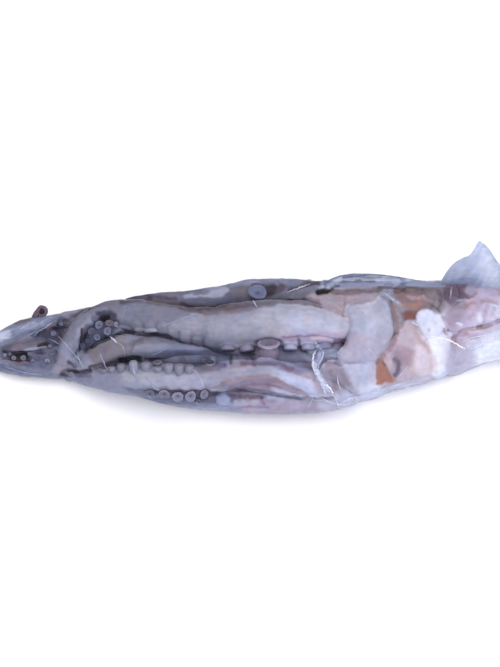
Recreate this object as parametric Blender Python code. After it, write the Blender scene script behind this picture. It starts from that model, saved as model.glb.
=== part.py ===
"""A whole raw octopus drawn tight into a clear film bag, lying flat.

The closed bag is one solid, from its taper round the arm tips (-X) to the pinched film
behind the mantle (+X). The arms, web, head, siphon and mantle press through it as relief,
the suckers stand up as small cups, and the loose end of the bag is a pleated fin at the
back. +Z is up, and z = 0 is the surface the bag rests on.
"""

import math

import bmesh
import bpy
from mathutils import Matrix, Vector

MM = 0.001

# Driving sizes of the closed bag, in millimetres.
BAG_LEFT = -277  # end of the taper round the arm tips
BAG_RIGHT = 314  # end of the pinched film behind the mantle
CORE_HEIGHT = 0.66  # height of the packed flesh between the arms, as a share of the bag's
CORE_WIDTH = 0.86  # its width, as a share of the bag's
VOXEL = 2.4  # grain at which the film is drawn over the pieces
FILM_PULL = 4  # smoothing passes that stretch the film over the gaps
SKIN_TRIANGLES = 6000  # faces left in the bag once the film is drawn over it

# Where the bag is cut across: x, middle y, half width, height.
BAG_STATIONS = (
    (BAG_LEFT, -1, 7, 8),
    (-253, 2, 20, 22),
    (-223, 4, 31, 31),
    (-193, 6, 37, 37),
    (-152, 5, 47, 43),
    (-101, 2, 58, 52),
    (-51, -1, 64, 60),
    (0, 1, 72, 65),
    (51, 2, 73, 66),
    (102, 8, 72, 63),
    (153, 18, 59, 57),
    (193, 21, 51, 56),
    (224, 25, 45, 53),
    (254, 26, 39, 49),
    (285, 27, 30, 40),
    (303, 29, 18, 24),
    (BAG_RIGHT, 30, 7, 9),
)

# Each arm's route from its thick end: x, y, z of its middle, and its radius.
ARMS = {
    "upper": (
        (101, 5, 40, 7),
        (92, 9, 43, 14),
        (74, 13, 45, 19),
        (50, 17, 45, 21.5),
        (12, 17, 44, 22),
        (-28, 15, 42, 20.5),
        (-65, 17, 40, 17),
        (-95, 28, 36, 15),
        (-123, 38, 32, 13.5),
        (-147, 37, 29, 11.5),
        (-167, 25, 27, 10.5),
        (-179, 5, 24, 9.5),
        (-186, -11, 18, 8.5),
        (-192, -23, 10, 6),
    ),
    "middle": (
        (94, -24, 34, 7),
        (74, -22, 36, 10),
        (8, -18, 36, 12),
        (-69, -8, 35, 12.5),
        (-104, -7, 34, 13),
        (-132, -8, 32, 14),
        (-153, -15, 26, 11),
        (-169, -23, 17, 8),
        (-180, -25, 10, 5),
    ),
    "lower": (
        (96, -60, 30, 6),
        (78, -54, 36, 9.5),
        (49, -46, 41, 13),
        (18, -40, 43, 14),
        (-15, -41, 42, 14),
        (-49, -44, 38, 15),
        (-88, -44, 34, 14.5),
        (-123, -39, 28, 13.5),
        (-151, -32, 20, 10.5),
        (-174, -28, 12, 6),
    ),
    "front": (
        (99, -54, 20, 8),
        (69, -59, 21, 10),
        (39, -58, 21, 12),
        (5, -57, 21, 13),
        (-30, -54, 20, 12.5),
        (-59, -51, 18, 11.5),
        (-89, -46, 16, 9.5),
        (-114, -39, 13, 7.5),
        (-142, -32, 9, 5),
    ),
    "back": (
        (147, 61, 34, 11),
        (111, 61, 36, 12),
        (76, 61, 36, 12),
        (40, 58, 36, 12.5),
        (5, 56, 36, 13),
        (-28, 53, 35, 12),
        (-61, 53, 33, 11),
        (-91, 52, 30, 10),
        (-116, 49, 26, 9),
    ),
    "rear": (
        (70, 70, 20, 7),
        (51, 73, 20, 9),
        (20, 72, 22, 10),
        (-10, 70, 22, 10),
        (-41, 67, 22, 9),
        (-71, 65, 22, 8),
        (-102, 61, 20, 7.5),
        (-132, 57, 18, 7),
        (-160, 48, 14, 5),
    ),
    "slim": (
        (94, -62, 27, 4),
        (78, -60, 30, 5),
        (54, -55, 35, 8),
        (24, -50, 37, 9),
        (-5, -47, 38, 7.5),
        (-25, -46, 36, 4.5),
    ),
    "tucked": (
        (-122, 21, 28, 8),
        (-139, 20, 28, 9.5),
        (-155, 11, 25, 9),
        (-166, -2, 19, 7),
    ),
    "tip_back": (
        (-140, 54, 24, 8),
        (-177, 38, 22, 8),
        (-200, 33, 19, 7.5),
        (-222, 31, 16, 7),
        (-241, 26, 13, 6),
        (-256, 17, 10, 5),
        (-270, 5, 6, 3),
    ),
    "tip_middle": (
        (-181, 13, 22, 6),
        (-201, 7, 20, 5.5),
        (-223, 5, 17, 5.5),
        (-243, 2, 13, 4.5),
        (-259, -3, 9, 3.5),
    ),
    "tip_front": (
        (-175, -16, 13, 7),
        (-195, -16, 14, 7.5),
        (-220, -14, 13, 7),
        (-241, -10, 10, 6),
        (-259, -7, 7, 4),
        (-272, -2, 5, 2.5),
    ),
}

# The round masses of web, head, siphon and mantle: middle, half sizes, turn in degrees.
LOBES = {
    "web_back": ((100, 46, 31), (48, 22, 24), 0),
    "web": ((108, 4, 31), (37, 48, 29), -8),
    "web_front": ((98, -37, 23), (42, 26, 25), 14),
    "head": ((158, 43, 28), (27, 27, 25), 20),
    "eye_side": ((158, 0, 28), (24, 38, 25), -22),
    "siphon": ((182, 17, 34), (17, 21, 20), -25),
    "siphon_base": ((191, -10, 27), (15, 23, 21), 14),
    "mantle_fold": ((210, 55, 30), (21, 18, 22), 10),
    "mantle_back": ((236, 40, 28), (48, 25, 24), -8),
    "mantle_front": ((242, 8, 24), (50, 21, 24), 6),
    "mantle_end": ((276, 26, 20), (36, 27, 21), 0),
}

# Rows of suckers on the arms: arm, first and last x, number, angle of the row round the arm
# from straight up (+90 faces the back, -90 the front), first and last radius.
SUCKER_ROWS = (
    ("upper", -120, 4, 11, -74, 4.4, 6.2),
    ("upper", 19, 19, 1, -70, 8.5, 8.5),
    ("upper", 38, 84, 4, -78, 6.0, 4.5),
    ("lower", -135, -60, 8, 62, 3.8, 4.6),
    ("lower", -44, 4, 4, 58, 4.6, 6.2),
    ("front", -102, -44, 5, -34, 4.0, 6.0),
    ("front", -27, -27, 1, -30, 7.2, 7.2),
    ("front", -8, 24, 3, -46, 6.0, 5.0),
    ("back", 8, 8, 1, -12, 8.5, 8.5),
    ("tucked", -156, -128, 4, 22, 3.6, 4.2),
    ("tucked", -149, -135, 2, -28, 3.8, 4.0),
    ("tip_front", -236, -203, 3, -12, 2.6, 3.0),
    ("tip_middle", -206, -190, 2, 20, 2.8, 3.2),
    ("tip_back", -214, -160, 5, -40, 2.6, 3.4),
)

# The curl of an arm tip that stands up at the back of the taper.
CURL_MIDDLE = (-213, 41, 25)
CURL_RING = 5.8  # radius of the loop
CURL_ARM = 4.0  # radius of the arm tip itself
CURL_LEAN = -60  # degrees that it leans back
CURL_STEPS = 16
CURL_SIDES = 8

# The slack film that stands off along the back of the web and head.
FILM_FOLD = (
    (60, 68, 23, 5),
    (80, 73, 24, 7),
    (104, 76, 26, 8.5),
    (136, 74, 28, 8),
    (166, 67, 32, 7),
    (194, 60, 34, 7),
)

# The loose end of the bag: its foot on the bag's back and its free edge, left to right.
FIN_FOOT = ((193, 52, 38), (221, 52, 40), (252, 48, 38), (287, 42, 30))
FIN_EDGE = (
    (192, 66, 42),
    (204, 80, 49),
    (215, 87, 54),
    (225, 90, 57),
    (232, 100, 66),
    (240, 92, 63),
    (251, 79, 57),
    (269, 66, 49),
    (290, 50, 38),
)
FIN_THICK = 1.8
FIN_PLEATS = 5
FIN_PLEAT_DEPTH = 1.6
FIN_COLUMNS = 26
FIN_ROWS = 6
FIN_SWAY = 0.8  # how far each pleat leans as it runs out, in radians of its wave

ARM_SIDES = 16
ARM_RING_STEP = 7  # distance between an arm's cross-sections
ARM_ENDS = ((-0.85, 0.35), (-0.6, 0.75))  # its rounded end: offset and size, in radii
BAG_SIDES = 48
BAG_RINGS = 72
BAG_ROUND = 2.5  # superellipse power of the cross-section: 2 is an ellipse
BURIED = 3  # how far the core reaches under z = 0 before its foot is cut flat
SUCKER_SIDES = 10
# Rings of a sucker from inside the arm to the cup's floor: radius and height, in rim radii.
SUCKER_PROFILE = ((0.62, -0.9), (1.0, 0.42), (0.86, 0.6), (0.4, 0.32))
CREASE_ANGLE = 50  # a sharper edge than this, in degrees, is drawn sharp


def clear_scene():
    for obj in list(bpy.data.objects):
        bpy.data.objects.remove(obj, do_unlink=True)


def along(points, t):
    """The value of a smooth curve through the points, with t from 0 to 1."""
    last = len(points) - 1
    place = min(max(t, 0), 1) * last
    i = min(int(place), last - 1)
    f = place - i
    before, start = Vector(points[max(i - 1, 0)]), Vector(points[i])
    end, after = Vector(points[i + 1]), Vector(points[min(i + 2, last)])
    return 0.5 * (
        2 * start
        + (end - before) * f
        + (2 * before - 5 * start + 4 * end - after) * f**2
        + (3 * start - before - 3 * end + after) * f**3
    )


def frame_at(points, t):
    """An arm's middle, radius, direction, upward and backward unit vectors at t."""
    step = 0.004
    here = along(points, t)
    ahead = (along(points, t + step) - along(points, t - step)).to_3d().normalized()
    back = Vector((0, 0, 1)).cross(ahead).normalized()
    if back.y < 0:
        back.negate()
    up = back.cross(ahead) if back.cross(ahead).z > 0 else ahead.cross(back)
    return here.to_3d(), here[3], ahead, up, back


def at_x(points, x):
    """The t at which a route first comes to x, found by halving."""
    low, high = 0.0, 1.0
    rising = points[-1][0] > points[0][0]
    for _ in range(30):
        half = (low + high) / 2
        if (along(points, half)[0] < x) == rising:
            low = half
        else:
            high = half
    return low


def add_object(name, bm, collection):
    """A closed mesh object in metres from a bmesh in millimetres."""
    bmesh.ops.scale(bm, vec=(MM, MM, MM), verts=bm.verts)
    bmesh.ops.recalc_face_normals(bm, faces=bm.faces)
    mesh = bpy.data.meshes.new(name)
    bm.to_mesh(mesh)
    bm.free()
    obj = bpy.data.objects.new(name, mesh)
    collection.objects.link(obj)
    return obj


def skin_rings(bm, rings):
    """Faces between closed rings of points, with a cap at each end."""
    verts = [[bm.verts.new(point) for point in ring] for ring in rings]
    for first, second in zip(verts, verts[1:]):
        for i in range(len(first)):
            j = (i + 1) % len(first)
            bm.faces.new((first[i], first[j], second[j], second[i]))
    bm.faces.new(verts[0][::-1])
    bm.faces.new(verts[-1])


def make_bag_core(collection):
    """The bag between the arms: a flattened tube that closes at both ends."""
    bm = bmesh.new()
    rings = []
    for i in range(BAG_RINGS):
        x, middle, half, high = along(BAG_STATIONS, i / (BAG_RINGS - 1))
        half *= CORE_WIDTH
        high *= CORE_HEIGHT
        ring = []
        for j in range(BAG_SIDES):
            turn = 2 * math.pi * j / BAG_SIDES
            across = math.copysign(abs(math.cos(turn)) ** (2 / BAG_ROUND), math.cos(turn))
            up = math.copysign(abs(math.sin(turn)) ** (2 / BAG_ROUND), math.sin(turn))
            reach = high / 2 if up > 0 else high / 2 + BURIED
            ring.append((x, middle + half * across, high / 2 + reach * up))
        rings.append(ring)
    skin_rings(bm, rings)
    return add_object("octopus_in_bag", bm, collection)


def make_arm(name, points, collection):
    """An arm as a swept round section that follows its route and tapers to rounded ends."""
    bm = bmesh.new()
    length = sum((Vector(b[:3]) - Vector(a[:3])).length for a, b in zip(points, points[1:]))
    count = max(6, round(length / ARM_RING_STEP))
    stops = [(0, push, share) for push, share in ARM_ENDS]
    stops += [(i / count, 0, 1) for i in range(count + 1)]
    stops += [(1, -push, share) for push, share in reversed(ARM_ENDS)]
    rings = []
    for t, push, share in stops:
        middle, radius, ahead, up, back = frame_at(points, t)
        middle += ahead * push * radius
        ring = []
        for j in range(ARM_SIDES):
            turn = 2 * math.pi * j / ARM_SIDES
            ring.append(middle + (up * math.cos(turn) + back * math.sin(turn)) * radius * share)
        rings.append(ring)
    skin_rings(bm, rings)
    return add_object(name, bm, collection)


def make_lobe(name, middle, halves, turn, collection):
    bm = bmesh.new()
    spin = Matrix.Rotation(math.radians(turn), 4, "Z")
    place = Matrix.Translation(middle) @ spin @ Matrix.Diagonal((*halves, 1))
    bmesh.ops.create_icosphere(bm, subdivisions=3, radius=1, matrix=place)
    return add_object(name, bm, collection)


def make_curl(collection):
    """The curled arm tip: a small ring that leans back on the taper."""
    bm = bmesh.new()
    middle = Vector(CURL_MIDDLE)
    lean = Matrix.Rotation(math.radians(CURL_LEAN), 4, "X")
    axis = lean @ Vector((0, 1, 0))
    verts = []
    for i in range(CURL_STEPS):
        turn = 2 * math.pi * i / CURL_STEPS
        out = lean @ Vector((math.cos(turn), 0, math.sin(turn)))
        ring = []
        for j in range(CURL_SIDES):
            roll = 2 * math.pi * j / CURL_SIDES
            offset = out * math.cos(roll) + axis * math.sin(roll)
            ring.append(bm.verts.new(middle + out * CURL_RING + offset * CURL_ARM))
        verts.append(ring)
    for i in range(CURL_STEPS):
        for j in range(CURL_SIDES):
            k = (i + 1) % CURL_STEPS
            m = (j + 1) % CURL_SIDES
            bm.faces.new((verts[i][j], verts[i][m], verts[k][m], verts[k][j]))
    return add_object("curl", bm, collection)


def make_sucker(name, foot, out, radius, collection):
    """A sucker: a short stalk that widens to a rim round a shallow cup."""
    bm = bmesh.new()
    side = out.orthogonal().normalized()
    across = out.cross(side)
    rings = []
    for share, height in SUCKER_PROFILE:
        ring = []
        for j in range(SUCKER_SIDES):
            turn = 2 * math.pi * j / SUCKER_SIDES
            spoke = side * math.cos(turn) + across * math.sin(turn)
            ring.append(foot + spoke * radius * share + out * radius * height)
        rings.append(ring)
    skin_rings(bm, rings)
    return add_object(name, bm, collection)


def make_suckers(collection):
    for row, (arm, first, last, number, angle, small, large) in enumerate(SUCKER_ROWS):
        for i in range(number):
            f = i / max(number - 1, 1)
            t = at_x(ARMS[arm], first + (last - first) * f)
            middle, radius, _, up, back = frame_at(ARMS[arm], t)
            turn = math.radians(angle)
            out = (up * math.cos(turn) + back * math.sin(turn)).normalized()
            size = small + (large - small) * f
            make_sucker(f"sucker_{row}_{i}", middle + out * radius, out, size, collection)


def make_fin(collection):
    """The loose end of the bag: a thin pleated sheet with both faces meshed alike."""
    bm = bmesh.new()
    sheets = {-1: [], 1: []}
    for i in range(FIN_COLUMNS + 1):
        s = i / FIN_COLUMNS
        foot, edge = along(FIN_FOOT, s), along(FIN_EDGE, s)
        face = Vector((1, 0, 0)).cross(edge - foot).normalized()
        columns = {-1: [], 1: []}
        for j in range(FIN_ROWS + 1):
            v = j / FIN_ROWS
            wave = math.sin(2 * math.pi * FIN_PLEATS * s + FIN_SWAY * v)
            middle = foot.lerp(edge, v) + face * wave * FIN_PLEAT_DEPTH * v
            for layer in columns:
                place = middle + face * layer * FIN_THICK / 2
                columns[layer].append(bm.verts.new(place))
        for layer, column in columns.items():
            sheets[layer].append(column)
    for layer, sheet in sheets.items():
        for i in range(FIN_COLUMNS):
            for j in range(FIN_ROWS):
                quad = (sheet[i][j], sheet[i + 1][j], sheet[i + 1][j + 1], sheet[i][j + 1])
                bm.faces.new(quad if layer > 0 else quad[::-1])
    corners = [(i, 0) for i in range(FIN_COLUMNS)]
    corners += [(FIN_COLUMNS, j) for j in range(FIN_ROWS)]
    corners += [(i, FIN_ROWS) for i in range(FIN_COLUMNS, 0, -1)]
    corners += [(0, j) for j in range(FIN_ROWS, 0, -1)]
    for (i, j), (k, m) in zip(corners, corners[1:] + corners[:1]):
        bm.faces.new((sheets[1][i][j], sheets[-1][i][j], sheets[-1][k][m], sheets[1][k][m]))
    return add_object("fin", bm, collection)


def new_collection(name):
    collection = bpy.data.collections.new(name)
    bpy.context.scene.collection.children.link(collection)
    return collection


def apply_modifiers(obj):
    """Replaces the object's mesh with its evaluated one."""
    graph = bpy.context.evaluated_depsgraph_get()
    mesh = bpy.data.meshes.new_from_object(obj.evaluated_get(graph))
    mesh.name = obj.name
    obj.modifiers.clear()
    obj.data = mesh


def fuse(obj, collection):
    """Joins a collection's closed pieces to the object and removes them."""
    union = obj.modifiers.new("fuse", "BOOLEAN")
    union.operation = "UNION"
    union.operand_type = "COLLECTION"
    union.collection = collection
    union.solver = "MANIFOLD"
    apply_modifiers(obj)
    for piece in list(collection.objects):
        bpy.data.objects.remove(piece, do_unlink=True)
    bpy.data.collections.remove(collection)


def draw_film(obj):
    """Stretches one skin over the fused pieces, then thins its faces out."""
    remesh = obj.modifiers.new("film", "REMESH")
    remesh.mode = "VOXEL"
    remesh.voxel_size = VOXEL * MM
    pull = obj.modifiers.new("pull", "SMOOTH")
    pull.factor = 0.5
    pull.iterations = FILM_PULL
    apply_modifiers(obj)
    obj.data.calc_loop_triangles()
    thin = obj.modifiers.new("thin", "DECIMATE")
    thin.ratio = SKIN_TRIANGLES / len(obj.data.loop_triangles)
    apply_modifiers(obj)


def cut_foot(obj):
    """Cuts the bag flat at z = 0, where it rests."""
    bm = bmesh.new()
    bm.from_mesh(obj.data)
    parts = list(bm.verts) + list(bm.edges) + list(bm.faces)
    cut = bmesh.ops.bisect_plane(
        bm, geom=parts, plane_co=(0, 0, 0), plane_no=(0, 0, 1), clear_inner=True
    )
    rim = [part for part in cut["geom_cut"] if isinstance(part, bmesh.types.BMEdge)]
    bmesh.ops.contextual_create(bm, geom=rim)
    bmesh.ops.triangulate(bm, faces=bm.faces)
    bm.to_mesh(obj.data)
    bm.free()


def bag_material():
    """Clear polyethylene film over pale grey-violet raw flesh."""
    material = bpy.data.materials.new("film_over_flesh")
    material.use_nodes = True
    surface = material.node_tree.nodes["Principled BSDF"]
    surface.inputs["Base Color"].default_value = (0.42, 0.41, 0.52, 1)
    surface.inputs["Roughness"].default_value = 0.22
    surface.inputs["Metallic"].default_value = 0.0
    return material


def main():
    clear_scene()
    scene = bpy.context.scene.collection
    bag = make_bag_core(scene)
    flesh = new_collection("flesh")
    for name, points in ARMS.items():
        make_arm(name, points, flesh)
    for name, (middle, halves, turn) in LOBES.items():
        make_lobe(name, middle, halves, turn, flesh)
    make_arm("film_fold", FILM_FOLD, flesh)
    make_curl(flesh)
    fuse(bag, flesh)
    draw_film(bag)
    cut_foot(bag)
    details = new_collection("details")
    make_suckers(details)
    make_fin(details)
    fuse(bag, details)
    bag.data.materials.clear()
    bag.data.materials.append(bag_material())
    bag.data.shade_smooth()
    bag.data.set_sharp_from_angle(angle=math.radians(CREASE_ANGLE))


main()
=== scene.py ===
import itertools
import math

import bmesh
import bpy
import numpy as np
from mathutils import Matrix, Vector
from mathutils.bvhtree import BVHTree


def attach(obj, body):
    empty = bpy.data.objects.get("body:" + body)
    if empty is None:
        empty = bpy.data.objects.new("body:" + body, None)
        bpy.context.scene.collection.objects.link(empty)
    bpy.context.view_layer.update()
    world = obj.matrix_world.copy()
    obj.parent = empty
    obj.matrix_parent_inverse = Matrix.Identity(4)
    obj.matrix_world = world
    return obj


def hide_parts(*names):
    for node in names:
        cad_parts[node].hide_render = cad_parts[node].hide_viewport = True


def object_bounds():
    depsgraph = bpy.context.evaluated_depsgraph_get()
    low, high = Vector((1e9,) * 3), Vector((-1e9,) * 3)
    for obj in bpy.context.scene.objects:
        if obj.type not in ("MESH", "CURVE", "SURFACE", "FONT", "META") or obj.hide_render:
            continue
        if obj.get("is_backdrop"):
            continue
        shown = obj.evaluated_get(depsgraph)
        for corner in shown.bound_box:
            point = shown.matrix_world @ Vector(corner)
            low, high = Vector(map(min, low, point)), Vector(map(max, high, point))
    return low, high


# A whole raw octopus drawn tight into a clear film bag, looks only.
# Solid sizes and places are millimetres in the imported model's own frame, turned to metres
# as each mesh is made: x runs from the arm tips to the mantle, y to the back, z up.
# Colour marks, suckers and creases are given as pixels of the 500 by 667 picture that the
# camera takes, then laid on the flesh or film they show on.
mm = 0.001
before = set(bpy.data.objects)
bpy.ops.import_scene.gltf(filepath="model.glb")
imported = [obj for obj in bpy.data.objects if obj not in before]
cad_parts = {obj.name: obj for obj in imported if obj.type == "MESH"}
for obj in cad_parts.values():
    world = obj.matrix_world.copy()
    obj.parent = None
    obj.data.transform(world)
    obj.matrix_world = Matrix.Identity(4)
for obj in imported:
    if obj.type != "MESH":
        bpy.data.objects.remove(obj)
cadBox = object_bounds()
node = "octopus_in_bag"
print("frame loaded")

# small tools


def toLinear(color):
    color = np.clip(np.asarray(color, float), 0, 1)
    return np.where(color <= 0.04045, color / 12.92, ((color + 0.055) / 1.055) ** 2.4)


def plainColor(hexText):  # red, green and blue of an sRGB hex, from 0 to 1
    return np.array([int(hexText[i:i + 2], 16) / 255 for i in (1, 3, 5)])


def linearColor(hexText):
    return [*toLinear(plainColor(hexText)), 1.0]


def patternScale(size):  # a texture's scale from the real distance between its marks
    return 1 / (size * mm)


def curveAt(points, places):  # a smooth curve through the points, read at places from 0 to 1
    points = np.asarray(points, float)
    last = len(points) - 1
    spot = np.clip(places, 0, 1) * last
    i = np.minimum(spot.astype(int), last - 1)
    f = (spot - i)[:, None]
    before, start = points[np.maximum(i - 1, 0)], points[i]
    end, after = points[i + 1], points[np.minimum(i + 2, last)]
    return 0.5 * (2 * start + (end - before) * f + (2 * before - 5 * start + 4 * end - after) * f**2
                  + (3 * start - before - 3 * end + after) * f**3)


def closedCurve(points, count):  # the same for an outline that comes back to its start
    points = np.asarray(points, float)
    ring = np.concatenate([points[-1:], points, points[:2]])
    return curveAt(ring, np.linspace(1, len(points) + 1, count, endpoint=False) / (len(ring) - 1))


def smoothStep(low, high, value):
    share = np.clip((value - low) / (high - low), 0, 1)
    return share * share * (3 - 2 * share)


lumpTurn = np.array(Matrix.Rotation(0.7, 3, Vector((1, 2, 3))))  # keeps the grain off the axes


def lumps(points, size, seed):  # a smooth random field from -1 to 1, size is its grain
    q = points @ lumpTurn / size + 31.7 * (seed + 1)
    cell = np.floor(q).astype(np.int64)
    f = q - cell
    ease = f**3 * (f * (6 * f - 15) + 10)
    total = np.zeros(len(points))
    for corner in itertools.product((0, 1), repeat=3):
        h = (cell + corner) @ np.array((374761393, 668265263, 1442695041)) + seed * 974634777
        for step in (13, 16, 15):
            h = ((h ^ (h >> step)) * 1274126177) & 0xFFFFFFFF
        slope = np.stack([(h >> shift & 255) / 127.5 - 1 for shift in (0, 8, 16)], 1)
        weight = np.where(corner, ease, 1 - ease).prod(axis=1)
        total += weight * (slope * (f - corner)).sum(axis=1)
    return np.clip(1.9 * total, -1, 1)


def distanceTo(points, route):  # shortest distance from each point to a broken line
    route = np.asarray(route, float)
    if len(route) == 1:
        return np.linalg.norm(points - route[0], axis=1)
    best = np.full(len(points), 1e9)
    for a, b in zip(route, route[1:]):
        d = b - a
        t = np.clip(((points - a) @ d) / max(d @ d, 1e-9), 0, 1)
        best = np.minimum(best, np.linalg.norm(points - a - t[:, None] * d, axis=1))
    return best


def jitter(points, size, seed):  # two smooth random values for each point
    return np.stack([lumps(points, size, seed), lumps(points, size, seed + 1)], 1)


def unit(vectors):
    return vectors / np.linalg.norm(vectors, axis=-1, keepdims=True)


def fullTurn(count):  # angles evenly round a circle
    return np.linspace(0, 2 * math.pi, count, endpoint=False)


def squareWaves(turn, power):  # cosine and sine, drawn toward a square where power is below 1
    return [np.sign(wave) * np.abs(wave) ** power for wave in (np.cos(turn), np.sin(turn))]


def blended(color, tone, share):  # colours moved toward a tone by each point's share
    return color + (tone - color) * share[:, None]


def depthInside(points, outline):  # distance to an outline, positive inside it
    inside = np.zeros(len(points), bool)
    across, up = points[:, 0], points[:, 1]
    for (x0, y0), (x1, y1) in zip(outline, np.roll(outline, -1, axis=0)):
        if y0 != y1:
            inside ^= ((y0 > up) != (y1 > up)) & (across < (x1 - x0) * (up - y0) / (y1 - y0) + x0)
    away = distanceTo(points, np.concatenate([outline, outline[:1]]))
    return np.where(inside, away, -away)


def gridFaces(rows, columns, roundTheRow=True):
    faces = []
    for i in range(rows - 1):
        for j in range(columns if roundTheRow else columns - 1):
            k = (j + 1) % columns
            faces.append((i * columns + j, i * columns + k, (i + 1) * columns + k, (i + 1) * columns + j))
    return faces


def closedFaces(rows, sides):
    ends = [tuple(range(sides))[::-1], tuple((rows - 1) * sides + j for j in range(sides))]
    return gridFaces(rows, sides) + ends


def joined(blocks):  # the points and faces of several meshes as one
    spots, faces, count = [], [], 0
    for points, block in blocks:
        faces += [tuple(v + count for v in face) for face in block]
        spots.append(points)
        count += len(points)
    return np.concatenate(spots), faces


def meshOf(name, points, faces):
    mesh = bpy.data.meshes.new(name)
    mesh.from_pydata((np.asarray(points) * mm).tolist(), [], faces)
    mesh.validate()
    made = bmesh.new()
    made.from_mesh(mesh)
    bmesh.ops.recalc_face_normals(made, faces=made.faces)
    made.to_mesh(mesh)
    made.free()
    mesh.shade_smooth()
    return mesh


def readVectors(data, name):
    flat = np.empty(len(data) * 3)
    data.foreach_get(name, flat)
    return flat.reshape(-1, 3)


def pointsOf(mesh):
    return readVectors(mesh.vertices, "co") / mm


def normalsOf(mesh):
    return readVectors(mesh.vertex_normals, "vector")


def facesOf(mesh):
    return [tuple(face.vertices) for face in mesh.polygons]


def treeOf(points, faces):  # for finding what a ray meets
    return BVHTree.FromPolygons([Vector(point) for point in points], faces)


def movePoints(mesh, points):
    mesh.vertices.foreach_set("co", (points * mm).ravel())
    mesh.update()


def writeMask(mesh, name, values):
    mask = mesh.attributes.new(name, "FLOAT", "POINT")
    mask.data.foreach_set("value", np.asarray(values, np.float32))


pigmentGain = 1.04  # what the film and the wet gloss take off the flesh's own colour


def writeTone(mesh, colors, gain=1.0):  # sRGB colours kept on the points as linear ones
    tone = mesh.attributes.new("tone", "FLOAT_VECTOR", "POINT")
    linear = np.clip(toLinear(colors) * gain, 0, 0.93)
    tone.data.foreach_set("vector", linear.astype(np.float32).ravel())


def addObject(name, mesh, material):
    piece = bpy.data.objects.new(name, mesh)
    bpy.context.scene.collection.objects.link(piece)
    mesh.materials.append(material)
    return piece


def keepPiece(piece):
    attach(piece, "root")
    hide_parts(node)
    return piece


def addNode(tree, kind, settings=None, links=None):
    made = tree.nodes.new(kind)
    for key, value in (settings or {}).items():
        if isinstance(key, str) and hasattr(made, key):
            setattr(made, key, value)
        else:
            made.inputs[key].default_value = value
    for key, source in (links or {}).items():
        tree.links.new(source, made.inputs[key])
    return made


def emptyMaterial(name):
    material = bpy.data.materials.new(name)
    material.use_nodes = True
    material.node_tree.nodes.clear()
    return material, material.node_tree


# camera and light

camera = {
    "elevation": 60,  # degrees above the horizon
    "distance": 1853,
    "aim": (0, 13.3, 30),
    "lens": 100,
    "pixels": (500, 667),
}
lighting = {
    "keyPlace": (250, 60, 1300), "keySize": 1500, "keyWatts": 11.5, "keyColor": "#fff9f2",
    "fillPlace": (100, -1150, 650), "fillSize": 1400, "fillWatts": 7, "fillColor": "#faf8fb",
    "skyColor": "#f5f5f9", "skyStrength": 0.95,
    "floorColor": "#f6f7fb", "floorSize": 6000,
}
tilt = math.radians(camera["elevation"])
toCamera = np.array((0, -math.cos(tilt), math.sin(tilt)))
pictureUp = np.array((0, math.sin(tilt), math.cos(tilt)))
eye = np.array(camera["aim"]) + toCamera * camera["distance"]
focal = camera["lens"] / 36 * camera["pixels"][1]  # in pixels, on a 36 mm sensor


def inPicture(points):  # the pixel each point shows at
    gone = points - eye
    depth = -gone @ toCamera
    across = camera["pixels"][0] / 2 + focal * gone[:, 0] / depth
    return np.stack([across, camera["pixels"][1] / 2 - focal * (gone @ pictureUp) / depth], 1)


def rayThrough(pixel):
    right = (pixel[0] - camera["pixels"][0] / 2) / focal
    up = (camera["pixels"][1] / 2 - pixel[1]) / focal
    ray = np.array((right, 0, 0)) + up * pictureUp - toCamera
    return ray / np.linalg.norm(ray)


def placeCamera():
    lens = bpy.data.cameras.new("camera")
    lens.lens = camera["lens"]
    seat = bpy.data.objects.new("camera", lens)
    bpy.context.scene.collection.objects.link(seat)
    seat.location = Vector(eye) * mm
    seat.rotation_euler = (-Vector(toCamera)).to_track_quat("-Z", "Y").to_euler()
    bpy.context.scene.camera = seat


def placeLamp(name):
    lamp = bpy.data.lights.new(name, "AREA")
    lamp.size = lighting[name + "Size"] * mm
    lamp.energy = lighting[name + "Watts"]
    lamp.color = linearColor(lighting[name + "Color"])[:3]
    stand = bpy.data.objects.new(name, lamp)
    bpy.context.scene.collection.objects.link(stand)
    stand.location = Vector(lighting[name + "Place"]) * mm
    stand.rotation_euler = (-stand.location).to_track_quat("-Z", "Y").to_euler()


def setStage():
    world = bpy.data.worlds.new("studio")
    bpy.context.scene.world = world
    world.use_nodes = True
    sky = world.node_tree.nodes["Background"]
    sky.inputs["Color"].default_value = linearColor(lighting["skyColor"])
    sky.inputs["Strength"].default_value = lighting["skyStrength"]
    placeLamp("key")
    placeLamp("fill")
    half = lighting["floorSize"] / 2
    corners = [(-half, -half, 0), (half, -half, 0), (half, half, 0), (-half, half, 0)]
    material, tree = emptyMaterial("whiteLaminateFloor")  # even and dull, so nothing mirrors in it
    surface = addNode(tree, "ShaderNodeBsdfPrincipled",
                      {"Base Color": linearColor(lighting["floorColor"]), "Roughness": 0.7})
    addNode(tree, "ShaderNodeOutputMaterial", links={"Surface": surface.outputs[0]})
    floor = addObject("floor", meshOf("floor", corners, [(0, 1, 2, 3)]), material)
    floor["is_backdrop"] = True


bpy.context.scene.view_settings.view_transform = "Standard"
placeCamera()
setStage()
print("camera and studio set")

# materials

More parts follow.
